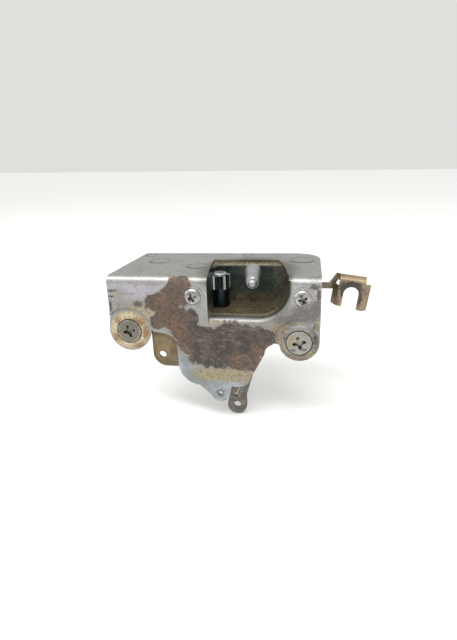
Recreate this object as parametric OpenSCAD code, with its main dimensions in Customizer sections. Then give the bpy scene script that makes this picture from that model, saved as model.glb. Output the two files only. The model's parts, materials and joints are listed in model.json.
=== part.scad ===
// Rotary door lock: a pressed case plate with a striker pocket, a toothed rotor held by
// a ratchet and pawl, two rod levers and a sliding lock fork.
// Frame: X along the front plate, +Y into the door, +Z out of the shut face.
// The origin lies on the front plate's outer face, midway between the two fixing screws.

/* [Case plate] */
// Sheet thickness of the case plate
sheet_t = 1.5; // [1.2:0.1:2]
// Overall width of the case plate
case_w = 105.5; // [100:0.5:110]
// Height of the shut face above the left fixing screw
top_z = 29; // [28:0.5:32]
// Depth of the shut face
case_depth = 55; // [50:1:62]
// Outer radius of the bend between front and shut face
bend_r = 4; // [3:0.5:5]
// Distance between the two fixing screws along X
fixing_span = 86.3; // [84:0.1:88]
// How far the right fixing screw sits below the left one
fixing_drop = 3.7; // [2:0.1:5]
// Radius of the left ear
left_ear_r = 11; // [10:0.1:12]
// Radius of the right ear
right_ear_r = 9.9; // [9:0.1:10.5]
// Depth of the step round each ear
ear_step = 1.2; // [0.8:0.1:1.4]
// Distance from the left fixing screw down to the lobe's lower edge
lobe_drop = 29; // [27:0.5:31]

/* [Striker pocket] */
// Left edge of the pocket window
pocket_left = -1.55; // [-2:0.05:-1]
// Width of the pocket
pocket_w = 39.4; // [38:0.2:41]
// Height of the pocket floor
floor_z = 8; // [7.5:0.5:8.5]
// Depth of the pocket
pocket_depth = 29.5; // [28.5:0.5:31]
// Radius of the pocket's lower right corner
pocket_r = 15; // [12:0.5:16]
// Outer radius of the rolled lip
lip_r = 3; // [2.5:0.25:3.5]
// Wall of the striker housing
housing_wall = 2.2; // [1.8:0.1:3]
// Thickness of the housing floor
floor_t = 3; // [2.5:0.25:3]
// Thickness of the housing's back wall
back_wall = 4; // [3:0.5:5]

/* [Guide pin] */
// Radius of the guide pin at its base
pin_base_r = 4.6; // [4.2:0.1:5]
// Radius of the guide pin at the end of its cone
pin_tip_r = 3.3; // [2.8:0.1:3.8]
// Radius of the round nose
nose_r = 2.2; // [1.8:0.1:2.6]
// Height of the guide pin's axis
pin_z = 24.3; // [23.5:0.1:24.3]
// Radius of the riveted shank
pin_shank_r = 2.8; // [2.4:0.1:2.8]

/* [Rotor] */
// Number of teeth on the star wheel
teeth = 5; // [5:1:7]
// Number of teeth on the ratchet
ratchet_teeth = 12; // [12:12:12]
// Tip radius of the star wheel
star_r = 5.5; // [5.2:0.1:6]
// Root radius of the star wheel
star_root_r = 4; // [3.9:0.1:4.4]
// Height of the star wheel's teeth
star_h = 7; // [6:0.5:7.5]
// Radius of the rotor shaft
shaft_r = 3; // [2.5:0.1:3.2]
// Radial running clearance of every shaft and pivot
run_gap = 0.05; // [0.03:0.01:0.08]
// Tip radius of the ratchet wheel
ratchet_r = 10; // [9.8:0.1:10.2]
// Root radius of the ratchet wheel
ratchet_root_r = 7; // [6.6:0.1:7.2]
// Thickness of the ratchet wheel
ratchet_t = 3; // [2.5:0.25:3.25]

/* [Levers] */
// Thickness of the two rod levers
lever_t = 1.8; // [1.5:0.1:2]
// Radius of the lever pivots
pivot_r = 3; // [2.6:0.1:3.2]
// Radius of the rod holes in the levers
rod_hole_r = 1.95; // [1.6:0.05:2.2]
// Gap between the case plate and the remote lever
lever_gap = 1.5; // [1.2:0.1:1.6]
// Travel of the lock slide
slide_travel = 5; // [4:0.5:5]
// Wire diameter of the return springs
wire_d = 0.8; // [0.6:0.1:1]

/* [Screws] */
// Radius of the fixing screws' shanks
fix_r = 2.95; // [2.8:0.05:3]
// Radius of the fixing screws' heads
fix_head_r = 6; // [5.5:0.1:6.2]
// Reach of the fixing screws behind the front plate
fix_reach = 17; // [14:0.5:20]
// Radius of the housing screws' heads
pan_head_r = 4.1; // [3.8:0.1:4.4]

/* [Hidden] */
$fn = 48;
eps = 0.01;

// Case outline
left_x = -case_w / 2 + 0.3;
right_x = left_x + case_w;
left_fix = [-fixing_span / 2, 0];
right_fix = [fixing_span / 2, -fixing_drop];
ear_recess_r = 12.8;
top_left_slant = 3;
top_corner_r = 14;
small_corner_r = 2.5;
lobe_left_x = -18.15;
lobe_corner_r = 12;
lobe_right_c = [12.9, -lobe_drop + 6];
lobe_right_r = 6;
lobe_slope = 27.5;
notch_r = 7;
tab_c = [3.3, -lobe_drop - 4.2];
tab_r = 4.8;
tab_hole_r = 1.2;
bead_in_r = 6.4;
bead_out_r = 9.8;
bead_h = 1;

// Pocket and window
pocket_right = pocket_left + pocket_w;
corner_c = [pocket_right - pocket_r, floor_z + pocket_r];
lip_depth = 4.7;
lip_tail = 0.6;
housing_y = sheet_t + lip_depth;
housing_back = pocket_depth + back_wall;
housing_left = -15;
pin_x = pocket_left + 19.35;
pin_lean = 5.8;
pin_hold = 3.2;
pin_tip_y = 4.4;
housing_top = top_z - sheet_t;
housing_floor = floor_z - floor_t;
window_back = housing_back + 4.5;
ledge_low = top_z - 4.5;
disc_c = [23.25, floor_z + 7];
disc_r = 7.5;
disc_h = 0.7;

// Rotor and ratchet, on one vertical axis
rotor = [1.35, 21];
chamber_r = star_r + 1.2;
star_z = 18;
star_turn = 17.5;
hub_r = 4.7;
shaft_head_r = 3.7;
bush_r = 5;
boss_z = 3.6;
boss_r = 7.5;
ratchet_z = 0;
plate_top = -2;
plate_t = 1.5;
shaft_end = -6;
pitch = 360 / teeth;
ratchet_pitch = 360 / ratchet_teeth;

// Pawl: its nose drops into a gap of the ratchet at nose_angle
nose_angle = 300;
nose_r0 = 9;
nose_half = 1.1;
steep_face = nose_angle + 8.5;
pawl_reach = 16;
nose_c = rotor + nose_r0 * [cos(nose_angle), sin(nose_angle)];
along = [-sin(nose_angle), cos(nose_angle)];
outward = [cos(nose_angle), sin(nose_angle)];
pawl_c = nose_c + pawl_reach * along;
pawl_z = 0.25;
pawl_t = 2.5;
pawl_pin_r = 2.5;
pawl_boss_r = 4.5;
pawl_tail = pawl_c + [4.45, -14];
pawl_back_reach = 16.3;
pawl_back = pawl_c + [0, pawl_back_reach];
pawl_swing = 18;
tail_r = 2.2;
spring_coil_gap = 1;
spring_nose_leg = 9;
spring_post_leg = 11;

// Lever layers, counted back from the front plate
remote_y = sheet_t + lever_gap;
release_y = remote_y + lever_t + 0.8;
release_c = [15.75, -14.8];
release_pad = [19.2, 1.8];
release_tip = [11.1, -42.6];
release_tip_r = 5.2;
spring_hole = [10.3, -36.6];
remote_c = [2.55, -16.5];
remote_hole = [left_fix[0] + 15.9, -13.7];
remote_left_x = left_fix[0] + 10.9;
drive_c = [12.6, -3.6];
drive_r = 1.3;
release_head_r = 3.8;
remote_head_r = 3;
release_flange_r = 5;
remote_flange_r = 4.6;
washer_r = 5.6;
post_c = [23, -7.5];
post_r = 1.2;

// Lock slide behind the housing
slide_y = housing_back + 1;
slide_t = 1.8;
bar_low = 9;
bar_high = 15;
bar_left = 3.5;
stud_z = 12;
stud_x = [14, 34];
stud_r = 2;
stud_hold = 2.5;
stud_flange = 1.8;
slot_gap = 0.05;
leg_right = pawl_c[0] - pawl_back_reach * sin(pawl_swing) - tail_r - slide_travel - 0.35;
leg_w = 3.5;
arm_low = 14.2;
arm_h = 3.2;
fork_tilt = 8;
fork_c = [right_x + 15.95, 13];
fork_y = 28;
fork_slot_r = 3.9;

// Screws
housing_screw_z = 19.2;
housing_screw_x = [pocket_left - 7, pocket_right + lip_r + 3.6];
housing_screw_r = 1.6;
housing_screw_end = 9;
lug_r = 3.5;
nut_y = ear_step + sheet_t;
nut_h = 5;
nut_r = 6.6;
fix_end_r = fix_r - 0.65;

function arc(c, r, from, to, steps = 10) =
    [for (i = [0:steps]) let (a = from + (to - from) * i / steps) c + r * [cos(a), sin(a)]];

// A flat shape drawn in X and Z, thick from y0 to y0 + t
module upright(y0, t) {
    translate([0, y0 + t, 0]) rotate([90, 0, 0]) linear_extrude(t) children();
}

// A round bar along Y
module bar_y(c, y0, y1, r) {
    translate([c[0], y1, c[1]]) rotate([90, 0, 0]) cylinder(h = y1 - y0, r = r);
}

// A turned shape about Y: its profile is [radius, depth from y0]
module turned_y(c, y0) {
    translate([c[0], y0, c[1]]) rotate([-90, 0, 0]) rotate_extrude() children();
}

// A round bar along Z
module bar_z(c, z0, z1, r) {
    translate([c[0], c[1], z0]) cylinder(h = z1 - z0, r = r);
}

// Cross recess for a driver, as a flat outline of reach r
module cross_outline(r) {
    w = r * 0.2;
    n = r * 0.34;
    polygon([for (i = [0:3]) let (a = 90 * i)
        each [for (p = [[n, -n], [r, -w], [r, w]])
            [p[0] * cos(a) - p[1] * sin(a), p[0] * sin(a) + p[1] * cos(a)]]]);
}

// A wire swept along points: each ring is square to the path and to an axis
function unit(v) = v / norm(v);
module wire(path, axis, d = wire_d, sides = 8) {
    last = len(path) - 1;
    points = [for (i = [0:last])
        let (t = unit(path[min(i + 1, last)] - path[max(i - 1, 0)]),
             n = unit(cross(t, axis)),
             b = cross(t, n))
        each [for (k = [0:sides - 1])
            path[i] + d / 2 * (n * cos(360 * k / sides) + b * sin(360 * k / sides))]];
    walls = [for (i = [0:last - 1], k = [0:sides - 1])
        let (m = (k + 1) % sides)
        [i * sides + k, i * sides + m, (i + 1) * sides + m, (i + 1) * sides + k]];
    ends = [[for (k = [sides - 1:-1:0]) k], [for (k = [0:sides - 1]) last * sides + k]];
    polyhedron(points, concat(walls, ends), convexity = 6);
}

// Outline of the front plate, seen from the front
module front_outline() {
    slope_end = lobe_right_c + lobe_right_r * [cos(-lobe_slope), sin(-lobe_slope)];
    polygon(concat(
        [[left_x, top_z], [left_x, 12]],
        arc(left_fix, left_ear_r, 178, 352, 22),
        [[left_fix[0] + left_ear_r + 0.8, 0.4]],
        arc([lobe_left_x - notch_r, -notch_r - 0.5], notch_r, 90, 0, 8),
        arc([lobe_left_x + lobe_corner_r, lobe_corner_r - lobe_drop], lobe_corner_r, 180, 264, 10),
        arc(tab_c, tab_r, 195, 350, 14),
        [[tab_c[0] + tab_r + 1.2, -lobe_drop]],
        arc(lobe_right_c, lobe_right_r, 270, 360 - lobe_slope, 6),
        [slope_end + 17 * [sin(lobe_slope), cos(lobe_slope)]],
        arc(right_fix + [-10.8, -7.3], 6.4, 150, 100, 6),
        arc(right_fix, right_ear_r, 190, 360, 20),
        [[right_x, 2], [right_x, top_z]]));
}

// Outline of the shut face, seen from above
module shut_outline() {
    polygon(concat(
        [[left_x, -1], [right_x, -1]],
        arc([right_x - top_corner_r, case_depth - top_corner_r], top_corner_r, 0, 90, 14),
        arc([left_x + top_left_slant + small_corner_r, case_depth - small_corner_r],
            small_corner_r, 90, 176, 6)));
}

// Section of the bent sheet, drawn in Y and Z
module bent_section() {
    bend_c = [bend_r, top_z - bend_r];
    low = -lobe_drop - 20;
    polygon(concat(
        [[0, low]],
        arc(bend_c, bend_r, 180, 90, 10),
        [[case_depth + 1, top_z], [case_depth + 1, top_z - sheet_t]],
        arc(bend_c, bend_r - sheet_t, 90, 180, 10),
        [[sheet_t, low]]));
}

// The space inside the bend, inset from its outer face, for trimming what meets it
module bend_space(inset = 0) {
    translate([left_x - 10, 0, 0]) rotate([90, 0, 90]) linear_extrude(case_w + 20)
        polygon(concat([[inset, -80]], arc([bend_r, top_z - bend_r], bend_r - inset, 180, 90, 10),
                       [[case_depth, top_z - inset], [case_depth, -80]]));
}

// Outline of the pocket with its walls moved out by grow, the left edge fixed
module pocket_outline(grow = 0) {
    polygon(concat(
        [[pocket_left, top_z + 5], [pocket_left, floor_z - grow]],
        arc(corner_c, pocket_r + grow, 270, 360, 14),
        [[pocket_right + grow, top_z + 5]]));
}

// Section of the rolled lip: [distance out from the pocket wall, depth]
module lip_section() {
    polygon(concat(
        [[lip_r + lip_tail, 0]],
        arc([lip_r, lip_r], lip_r, 270, 180, 8),
        [[0, housing_y], [sheet_t, housing_y]],
        arc([lip_r, lip_r], lip_r - sheet_t, 180, 270, 8),
        [[lip_r + lip_tail, sheet_t]]));
}

// The rolled lip along the pocket's floor edge, round its corner and up its right side
module rolled_lip() {
    translate([corner_c[0], 0, corner_c[1]]) rotate([90, 0, 0])
        intersection() {
            mirror([0, 0, 1]) rotate_extrude()
                translate([pocket_r, 0]) lip_section();
            translate([0, -40, -20]) cube([40, 40, 40]);
        }
    translate([pocket_left, 0, floor_z]) rotate([0, 90, 0])
        linear_extrude(corner_c[0] - pocket_left) lip_section();
    intersection() {
        translate([pocket_right, 0, corner_c[1]]) linear_extrude(top_z - corner_c[1])
            lip_section();
        bend_space();
    }
}

module ear(fix, r) {
    difference() {
        bar_y(fix, ear_step, ear_step + sheet_t, min(ear_recess_r, r + 1.6));
        upright(-1, 6) difference() {
            translate([fix[0] - 20, fix[1] - 20]) square(40);
            front_outline();
        }
    }
    turned_y(fix, 0) polygon([[bead_in_r, ear_step + 0.5], [bead_in_r + 0.2, ear_step - bead_h + 0.3],
        [bead_in_r + 1, ear_step - bead_h], [bead_in_r + 1.8, ear_step - bead_h + 0.15],
        [bead_out_r - 0.4, ear_step - 0.1], [bead_out_r, ear_step + 0.5]]);
}

module case_plate() {
    color("gainsboro")
    difference() {
        union() {
            difference() {
                intersection() {
                    translate([left_x - 10, 0, 0]) rotate([90, 0, 90])
                        linear_extrude(case_w + 20) bent_section();
                    upright(-1, case_depth + 3) front_outline();
                    translate([0, 0, -60]) linear_extrude(100) union() {
                        shut_outline();
                        translate([left_x - 5, -1]) square([case_w + 10, 2 * sheet_t]);
                    }
                }
                for (ear_fix = [left_fix, right_fix])
                    bar_y(ear_fix, -1, ear_step, ear_recess_r);
                upright(-1, bend_r + 1) pocket_outline();
                upright(-1, bend_r + 1) intersection() {
                    pocket_outline(lip_r + lip_tail / 2);
                    translate([pocket_left, 0]) square([pocket_w + 2 * lip_r, top_z - sheet_t]);
                }
                shut_window();
            }
            rolled_lip();
            ear(left_fix, left_ear_r);
            ear(right_fix, right_ear_r);
            for (x = housing_screw_x)
                bar_y([x, housing_screw_z], -0.4, sheet_t / 2, pan_head_r + 1.2);
        }
        for (fix = [left_fix, right_fix]) {
            bar_y(fix, -1, 6, fix_r + 0.1);
            turned_y(fix, 0.3) polygon([[0, -1], [fix_head_r + 0.1, -1], [fix_head_r + 0.1, 0],
                [fix_r + 0.1, fix_head_r - fix_r - 0.65], [0, fix_head_r - fix_r - 0.65]]);
        }
        for (x = housing_screw_x)
            bar_y([x, housing_screw_z], -1, sheet_t + 1, housing_screw_r + 0.2);
        bar_y(release_c, -1, sheet_t + 1, release_head_r);
        bar_y(remote_c, -1, sheet_t + 1, remote_head_r);
        bar_y(post_c, -1, sheet_t + 1, post_r);
        bar_y(tab_c, -1, sheet_t + 1, tab_hole_r);
        for (rivet = shut_rivets) {
            bar_z([rivet[0], rivet[1]], top_z - sheet_t - 1, top_z + 1, rivet[3]);
            bar_z([rivet[0], rivet[1]], top_z - rivet_head, top_z + 1, rivet[2] + 0.15);
        }
    }
}

// The part of the window that lies in the shut face: its sides lean left, the right one in a curve
module shut_window() {
    left = pocket_left;
    right = pocket_right;
    translate([0, 0, top_z - 3]) linear_extrude(5)
        polygon([[left, bend_r], [right, bend_r], [right - 1, 8.5], [right - 1.6, 14],
                 [right - 2.45, 20.2], [right - 4.15, 27.6], [right - 5.8, window_back - 4],
                 [right - 7.3, window_back], [left - 3.1, window_back], [left - 3.05, 31],
                 [left - 2.1, 20.6], [left - 0.4, 7]]);
}

module striker_housing() {
    color("darkolivegreen")
    difference() {
        union() {
            upright(housing_y, housing_back - housing_y) intersection() {
                pocket_outline(housing_wall + 0.8);
                translate([pocket_left - 1, housing_floor]) square([80, housing_top - housing_floor]);
            }
            intersection() {
                translate([housing_left, sheet_t, housing_floor])
                    cube([pocket_left - housing_left, housing_back - sheet_t, housing_top - housing_floor]);
                bend_space(sheet_t);
            }
            bar_y(disc_c, pocket_depth - disc_h, pocket_depth + 0.2, disc_r);
            translate([pocket_left - eps, housing_y, housing_floor])
                cube([corner_c[0] - pocket_left, housing_back - housing_y, floor_t]);
            hull() {
                bar_y([housing_screw_x[1], housing_screw_z], sheet_t, 9.5, lug_r);
                translate([pocket_right + 1.8, housing_y + 0.3, housing_screw_z - lug_r])
                    cube([1, 3, 2 * lug_r]);
            }
            bar_z(rotor, boss_z, housing_floor + 1, boss_r);
            translate([housing_left, housing_back - 1, ledge_low])
                cube([pocket_right - housing_left, window_back - housing_back + 2, housing_top - ledge_low]);
        }
        upright(-1, pocket_depth - disc_h + 1) pocket_outline();
        upright(pocket_depth - disc_h - 1, disc_h + 1) difference() {
            pocket_outline();
            translate(disc_c) circle(r = disc_r);
        }
        pin_pose() bar_y([pin_x, pin_z], pocket_depth - disc_h - 1, pocket_depth, pin_base_r + 0.15);
        bar_z(rotor, floor_z, top_z + 1, chamber_r);
        bar_z(rotor, boss_z - 1, floor_z + 1, bush_r);
        bar_z(pawl_c, housing_floor - 1, floor_z + 1, pawl_pin_r - 0.7);
        pin_pose() bar_y([pin_x, pin_z], pocket_depth - 1, pocket_depth + pin_hold, pin_shank_r);
        for (x = housing_screw_x)
            bar_y([x, housing_screw_z], 0, housing_screw_end, housing_screw_r);
        for (x = stud_x)
            bar_y([x, stud_z], housing_back - stud_hold, housing_back + 1, stud_r - 0.5);
        for (p = pillars)
            bar_z(p, housing_floor - 1, housing_floor + 2, pillar_spigot_r);
        bar_z([shut_rivets[0][0], shut_rivets[0][1]], housing_top - 3, housing_top + 1, shut_rivets[0][3]);
    }
}

// The guide pin leans a little towards the window's far side
module pin_pose() {
    translate([pin_x, pocket_depth, 0]) rotate([0, 0, pin_lean]) translate([-pin_x, -pocket_depth, 0]) children();
}

module guide_pin() {
    color("silver") pin_pose() turned_y([pin_x, pin_z], 0)
        polygon(concat(
            [for (a = [0:15:75]) [nose_r * sin(a), pin_tip_y + nose_r * (1 - cos(a))]],
            [[nose_r, pin_tip_y + nose_r], [nose_r + 0.1, pin_tip_y + nose_r + 0.8],
             [pin_tip_r - 0.3, pin_tip_y + nose_r + 1.3], [pin_tip_r, pin_tip_y + nose_r + 1.8],
             [pin_base_r, pocket_depth - 1.5], [pin_base_r, pocket_depth],
             [pin_shank_r, pocket_depth], [pin_shank_r, pocket_depth + pin_hold],
             [0, pocket_depth + pin_hold]]));
}

module star_outline() {
    tip_half = pitch * 0.15;
    root_half = pitch * 0.24;
    polygon([for (i = [0:teeth - 1]) let (a = star_turn + pitch * i)
        each [star_root_r * [cos(a - root_half), sin(a - root_half)],
              (star_r - 0.5) * [cos(a - tip_half), sin(a - tip_half)],
              star_r * [cos(a - tip_half * 0.6), sin(a - tip_half * 0.6)],
              star_r * [cos(a + tip_half * 0.6), sin(a + tip_half * 0.6)],
              (star_r - 0.5) * [cos(a + tip_half), sin(a + tip_half)],
              star_root_r * [cos(a + root_half), sin(a + root_half)]]]);
}

module star_wheel() {
    color("dimgray")
    difference() {
        union() {
            translate([rotor[0], rotor[1], star_z]) linear_extrude(star_h) star_outline();
            bar_z(rotor, floor_z + 0.3, star_z + eps, hub_r);
        }
        bar_z(rotor, 0, top_z, shaft_r);
    }
}

module rotor_shaft() {
    head_z = star_z + star_h;
    color("darkgray")
    translate([rotor[0], rotor[1], 0]) rotate_extrude()
        polygon([[0, shaft_end], [shaft_r - 0.4, shaft_end], [shaft_r, shaft_end + 0.4],
                 [shaft_r, clip_z], [shaft_r - 0.6, clip_z], [shaft_r - 0.6, clip_z + clip_t],
                 [shaft_r, clip_z + clip_t], [shaft_r, head_z], [shaft_head_r, head_z],
                 [shaft_head_r, head_z + 0.6], [shaft_head_r - 0.8, head_z + 1.2],
                 [0, head_z + 1.3]]);
}
clip_t = 0.8;
clip_z = shaft_end + 0.9;

module shaft_clip() {
    color("dimgray")
    translate([rotor[0], rotor[1], clip_z]) linear_extrude(clip_t) difference() {
        circle(r = shaft_r + 2.2);
        circle(r = shaft_r - 0.6);
        translate([-1.6, -8]) square([3.2, 8]);
    }
}

module rotor_bush() {
    color("goldenrod") difference() {
        bar_z(rotor, boss_z, floor_z, bush_r);
        bar_z(rotor, boss_z - 1, floor_z + 1, shaft_r + run_gap);
    }
}

module ratchet_wheel() {
    color("slategray") difference() {
        translate([rotor[0], rotor[1], ratchet_z]) linear_extrude(ratchet_t)
            polygon([for (i = [0:ratchet_teeth - 1]) let (a = steep_face + ratchet_pitch * i)
                each concat(
                    [for (s = [0, 5]) ratchet_r * [cos(a + s), sin(a + s)]],
                    [for (s = [12, 21, 30]) ratchet_root_r * [cos(a + s), sin(a + s)]])]);
        bar_z(rotor, ratchet_z - 1, ratchet_z + ratchet_t + 1, shaft_r);
    }
}

module thrust_washer() {
    color("goldenrod") difference() {
        bar_z(rotor, plate_top + 0.1, ratchet_z - 0.05, bush_r + 0.5);
        bar_z(rotor, plate_top - 1, ratchet_z + 1, shaft_r);
    }
}

pillars = [[-11, 27.5], [-6.2, 9.8], [31, 26]];
pillar_r = 2.5;
pillar_spigot_r = 1.5;

module bearing_plate() {
    color("lightslategray") difference() {
        translate([0, 0, plate_top - plate_t]) linear_extrude(plate_t) hull() {
            for (p = pillars) translate(p) circle(r = pillar_r + 2, $fn = 32);
            translate(pawl_c) circle(r = pawl_boss_r + 1, $fn = 32);
            translate(rotor) circle(r = 8, $fn = 32);
        }
        bar_z(rotor, plate_top - plate_t - 1, plate_top + 1, shaft_r + run_gap);
        bar_z(pawl_c, plate_top - plate_t - 1, plate_top + 1, pawl_pin_r - 0.7);
        for (p = pillars)
            bar_z(p, plate_top - plate_t - 1, plate_top + 1, pillar_spigot_r);
    }
}

module plate_pillars() {
    color("silver") for (p = pillars) {
        bar_z(p, plate_top, housing_floor, pillar_r);
        bar_z(p, housing_floor - eps, housing_floor + 1.8, pillar_spigot_r);
        bar_z(p, plate_top - plate_t, plate_top + eps, pillar_spigot_r);
        translate([p[0], p[1], plate_top - plate_t - 0.8])
            cylinder(h = 0.8, r1 = pillar_spigot_r + 0.3, r2 = pillar_spigot_r + 0.9);
    }
}

module pawl() {
    color("slategray") difference() {
        union() {
            translate([0, 0, pawl_z]) linear_extrude(pawl_t) hull() {
                translate(pawl_c) circle(r = pawl_boss_r);
                translate(nose_c + 3.2 * outward + 1.5 * along) circle(r = 1.5);
            }
            translate([0, 0, pawl_z]) linear_extrude(pawl_t)
                polygon([nose_c - 1.5 * outward - nose_half * along, nose_c - 1.5 * outward + nose_half * along,
                         nose_c + 1.7 * outward + nose_half * along, nose_c + 2.6 * outward + 4 * along,
                         nose_c + 3.6 * outward + 4 * along, nose_c + 4 * outward,
                         nose_c + 3 * outward - 1.7 * along]);
            for (end = [pawl_tail, pawl_back])
                translate([0, 0, pawl_z]) linear_extrude(pawl_t) hull() {
                    translate(pawl_c) circle(r = pawl_boss_r - 1);
                    translate(end) circle(r = tail_r);
                }
        }
        bar_z(pawl_c, pawl_z - 1, pawl_z + pawl_t + 1, pawl_pin_r + run_gap);
    }
}

module pawl_pivot() {
    color("silver") {
        bar_z(pawl_c, plate_top, housing_floor, pawl_pin_r);
        bar_z(pawl_c, housing_floor - eps, floor_z, pawl_pin_r - 0.7);
        bar_z(pawl_c, plate_top - plate_t, plate_top + eps, pawl_pin_r - 0.7);
        translate([pawl_c[0], pawl_c[1], plate_top - plate_t - 1])
            cylinder(h = 1, r1 = pawl_pin_r - 0.4, r2 = pawl_pin_r + 0.4);
    }
}

module pawl_spring() {
    coil_r = pawl_pin_r + spring_coil_gap;
    low = pawl_z + pawl_t + wire_d / 2 + 0.1;
    turns = 2;
    steps = 16;
    rise = housing_floor - low - wire_d / 2 - 0.1;
    coil = [for (i = [0:turns * steps]) let (a = 200 + 360 * i / steps)
        [pawl_c[0] + coil_r * cos(a), pawl_c[1] + coil_r * sin(a), low + rise * i / (turns * steps)]];
    nose_leg = [coil[0][0] + spring_nose_leg * sin(200), coil[0][1] - spring_nose_leg * cos(200), low];
    coil_end = coil[turns * steps];
    post_leg = [coil_end[0] - spring_post_leg * sin(200), coil_end[1] + spring_post_leg * cos(200), low + rise];
    color("silver") wire(concat([nose_leg], coil, [post_leg]), [0, 0, 1]);
}

module release_lever() {
    color("dimgray") difference() {
        upright(release_y, lever_t) union() {
            hull() {
                translate(release_c) circle(r = 6.5, $fn = 40);
                translate(release_tip + [0.4, 6]) circle(r = release_tip_r - 0.6, $fn = 32);
            }
            hull() {
                translate(release_tip) circle(r = release_tip_r, $fn = 40);
                translate(release_tip + [0.4, 6]) circle(r = release_tip_r - 0.6, $fn = 32);
            }
            hull() {
                translate(release_c) circle(r = 5, $fn = 32);
                translate(release_pad) circle(r = 2.4, $fn = 32);
            }
        }
        bar_y(release_c, release_y - 1, release_y + lever_t + 1, pivot_r + run_gap);
        bar_y(release_tip, release_y - 1, release_y + lever_t + 1, rod_hole_r);
        bar_y(spring_hole, release_y - 1, release_y + lever_t + 1, wire_d / 2 + 0.6);
    }
}

// A shouldered rivet: head flush in the case plate, journal, then its flange behind the lever
module shouldered_rivet(c, head_r, flange_r, lever_y) {
    turned_y(c, 0) polygon([[0, -0.25], [head_r - 0.3, -0.25], [head_r, 0], [head_r, sheet_t],
        [pivot_r, sheet_t], [pivot_r, lever_y + lever_t + 0.15],
        [flange_r, lever_y + lever_t + 0.15], [flange_r, lever_y + lever_t + 0.85],
        [flange_r - 0.6, lever_y + lever_t + 1.25], [0, lever_y + lever_t + 1.25]]);
}

module release_pivot() {
    color("silver") shouldered_rivet(release_c, release_head_r, release_flange_r, release_y);
}

module remote_pivot() {
    color("silver") shouldered_rivet(remote_c, remote_head_r, remote_flange_r, remote_y);
}

module release_spring() {
    coil_r = pivot_r + 1.1;
    first_y = sheet_t + wire_d / 2 + 0.1;
    last_y = release_y - wire_d / 2 - 0.15;
    steps = 50;
    to_post = post_c - release_c;
    to_hole = spring_hole - release_c;
    post_side = coil_r + post_r + wire_d / 2 + 0.05;
    start = atan2(to_post[1], to_post[0]) - acos(post_side / norm(to_post));
    finish = atan2(to_hole[1], to_hole[0]) + acos(coil_r / norm(to_hole)) - 1080;
    leg = sqrt(pow(norm(to_post), 2) - pow(post_side, 2)) + 1.8;
    coil = [for (i = [0:steps]) let (a = start + (finish - start) * i / steps)
        [release_c[0] + coil_r * cos(a), first_y + (last_y - first_y) * i / steps,
         release_c[1] + coil_r * sin(a)]];
    last = coil[steps];
    way = unit([spring_hole[0] - last[0], 0, spring_hole[1] - last[2]]);
    hole = [spring_hole[0], last_y, spring_hole[1]];
    color("tan") wire(concat([coil[0] + leg * [-sin(start), 0, cos(start)]], coil,
        [hole - 2.2 * way, hole - 0.6 * way + [0, 0.3, 0], hole - 0.2 * way + [0, 0.9, 0],
         hole + 0.1 * way + [0, lever_t + 1.1, 0]]), [0, 1, 0]);
}

module spring_post() {
    color("silver") turned_y(post_c, 0)
        polygon([[0, 0], [post_r, 0], [post_r, sheet_t + 1.5], [0, sheet_t + 1.5]]);
}

module remote_lever() {
    corner_r = 7;
    color("tan") difference() {
        union() {
            upright(remote_y, lever_t) polygon(concat(
                [[remote_left_x, -1]],
                arc([remote_left_x + corner_r, -13], corner_r, 180, 270, 10),
                [[remote_left_x + 14, -20], [-10, -21.5], [remote_c[0], remote_c[1] - 6.8]],
                arc(remote_c, 6.8, 270, 450, 14),
                [[-10, -8.5], [-17, -4], [remote_left_x + 10, 1.5]],
                arc([remote_left_x + 3, -1.5], 3, 90, 170, 4)));
            upright(remote_y, lever_t) hull() {
                translate(remote_c) circle(r = 4.5);
                translate(drive_c) circle(r = drive_r + 1.1);
            }
            bar_y(drive_c, remote_y, release_y + lever_t, drive_r);
        }
        bar_y(remote_c, remote_y - 1, remote_y + lever_t + 1, pivot_r + run_gap);
        bar_y(remote_hole, remote_y - 1, remote_y + lever_t + 1, rod_hole_r);
    }
}

module spacer_washer() {
    color("silver") difference() {
        bar_y(remote_c, sheet_t, remote_y - 0.1, washer_r);
        bar_y(remote_c, 0, remote_y + 1, pivot_r);
    }
}

module lock_slide() {
    bar_end = right_x + 0.5;
    color("peru") {
        difference() {
            upright(slide_y, slide_t) union() {
                translate([bar_left, bar_low]) square([bar_end - bar_left, bar_high - bar_low]);
                translate([leg_right - leg_w, -1]) square([leg_w, bar_low + 2]);
                polygon([[bar_end - 5, bar_high - 1], [bar_end - 5, arm_low + arm_h],
                         [bar_end + 4.5, arm_low + arm_h], [bar_end + 8.3, arm_low + arm_h + 5.4],
                         [bar_end + 10.6, arm_low + arm_h + 4.8],
                         [bar_end + 6.2, arm_low], [bar_end - 1, arm_low], [bar_end - 1, bar_low + 1]]);
            }
            for (x = stud_x) {
                for (shift = [0, -slide_travel])
                    bar_y([x + shift, stud_z], slide_y - 1, slide_y + slide_t + 1, stud_r + slot_gap);
                translate([x - slide_travel, slide_y - 1, stud_z - stud_r - slot_gap])
                    cube([slide_travel, slide_t + 2, 2 * (stud_r + slot_gap)]);
            }
        }
        fork();
    }
}

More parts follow.
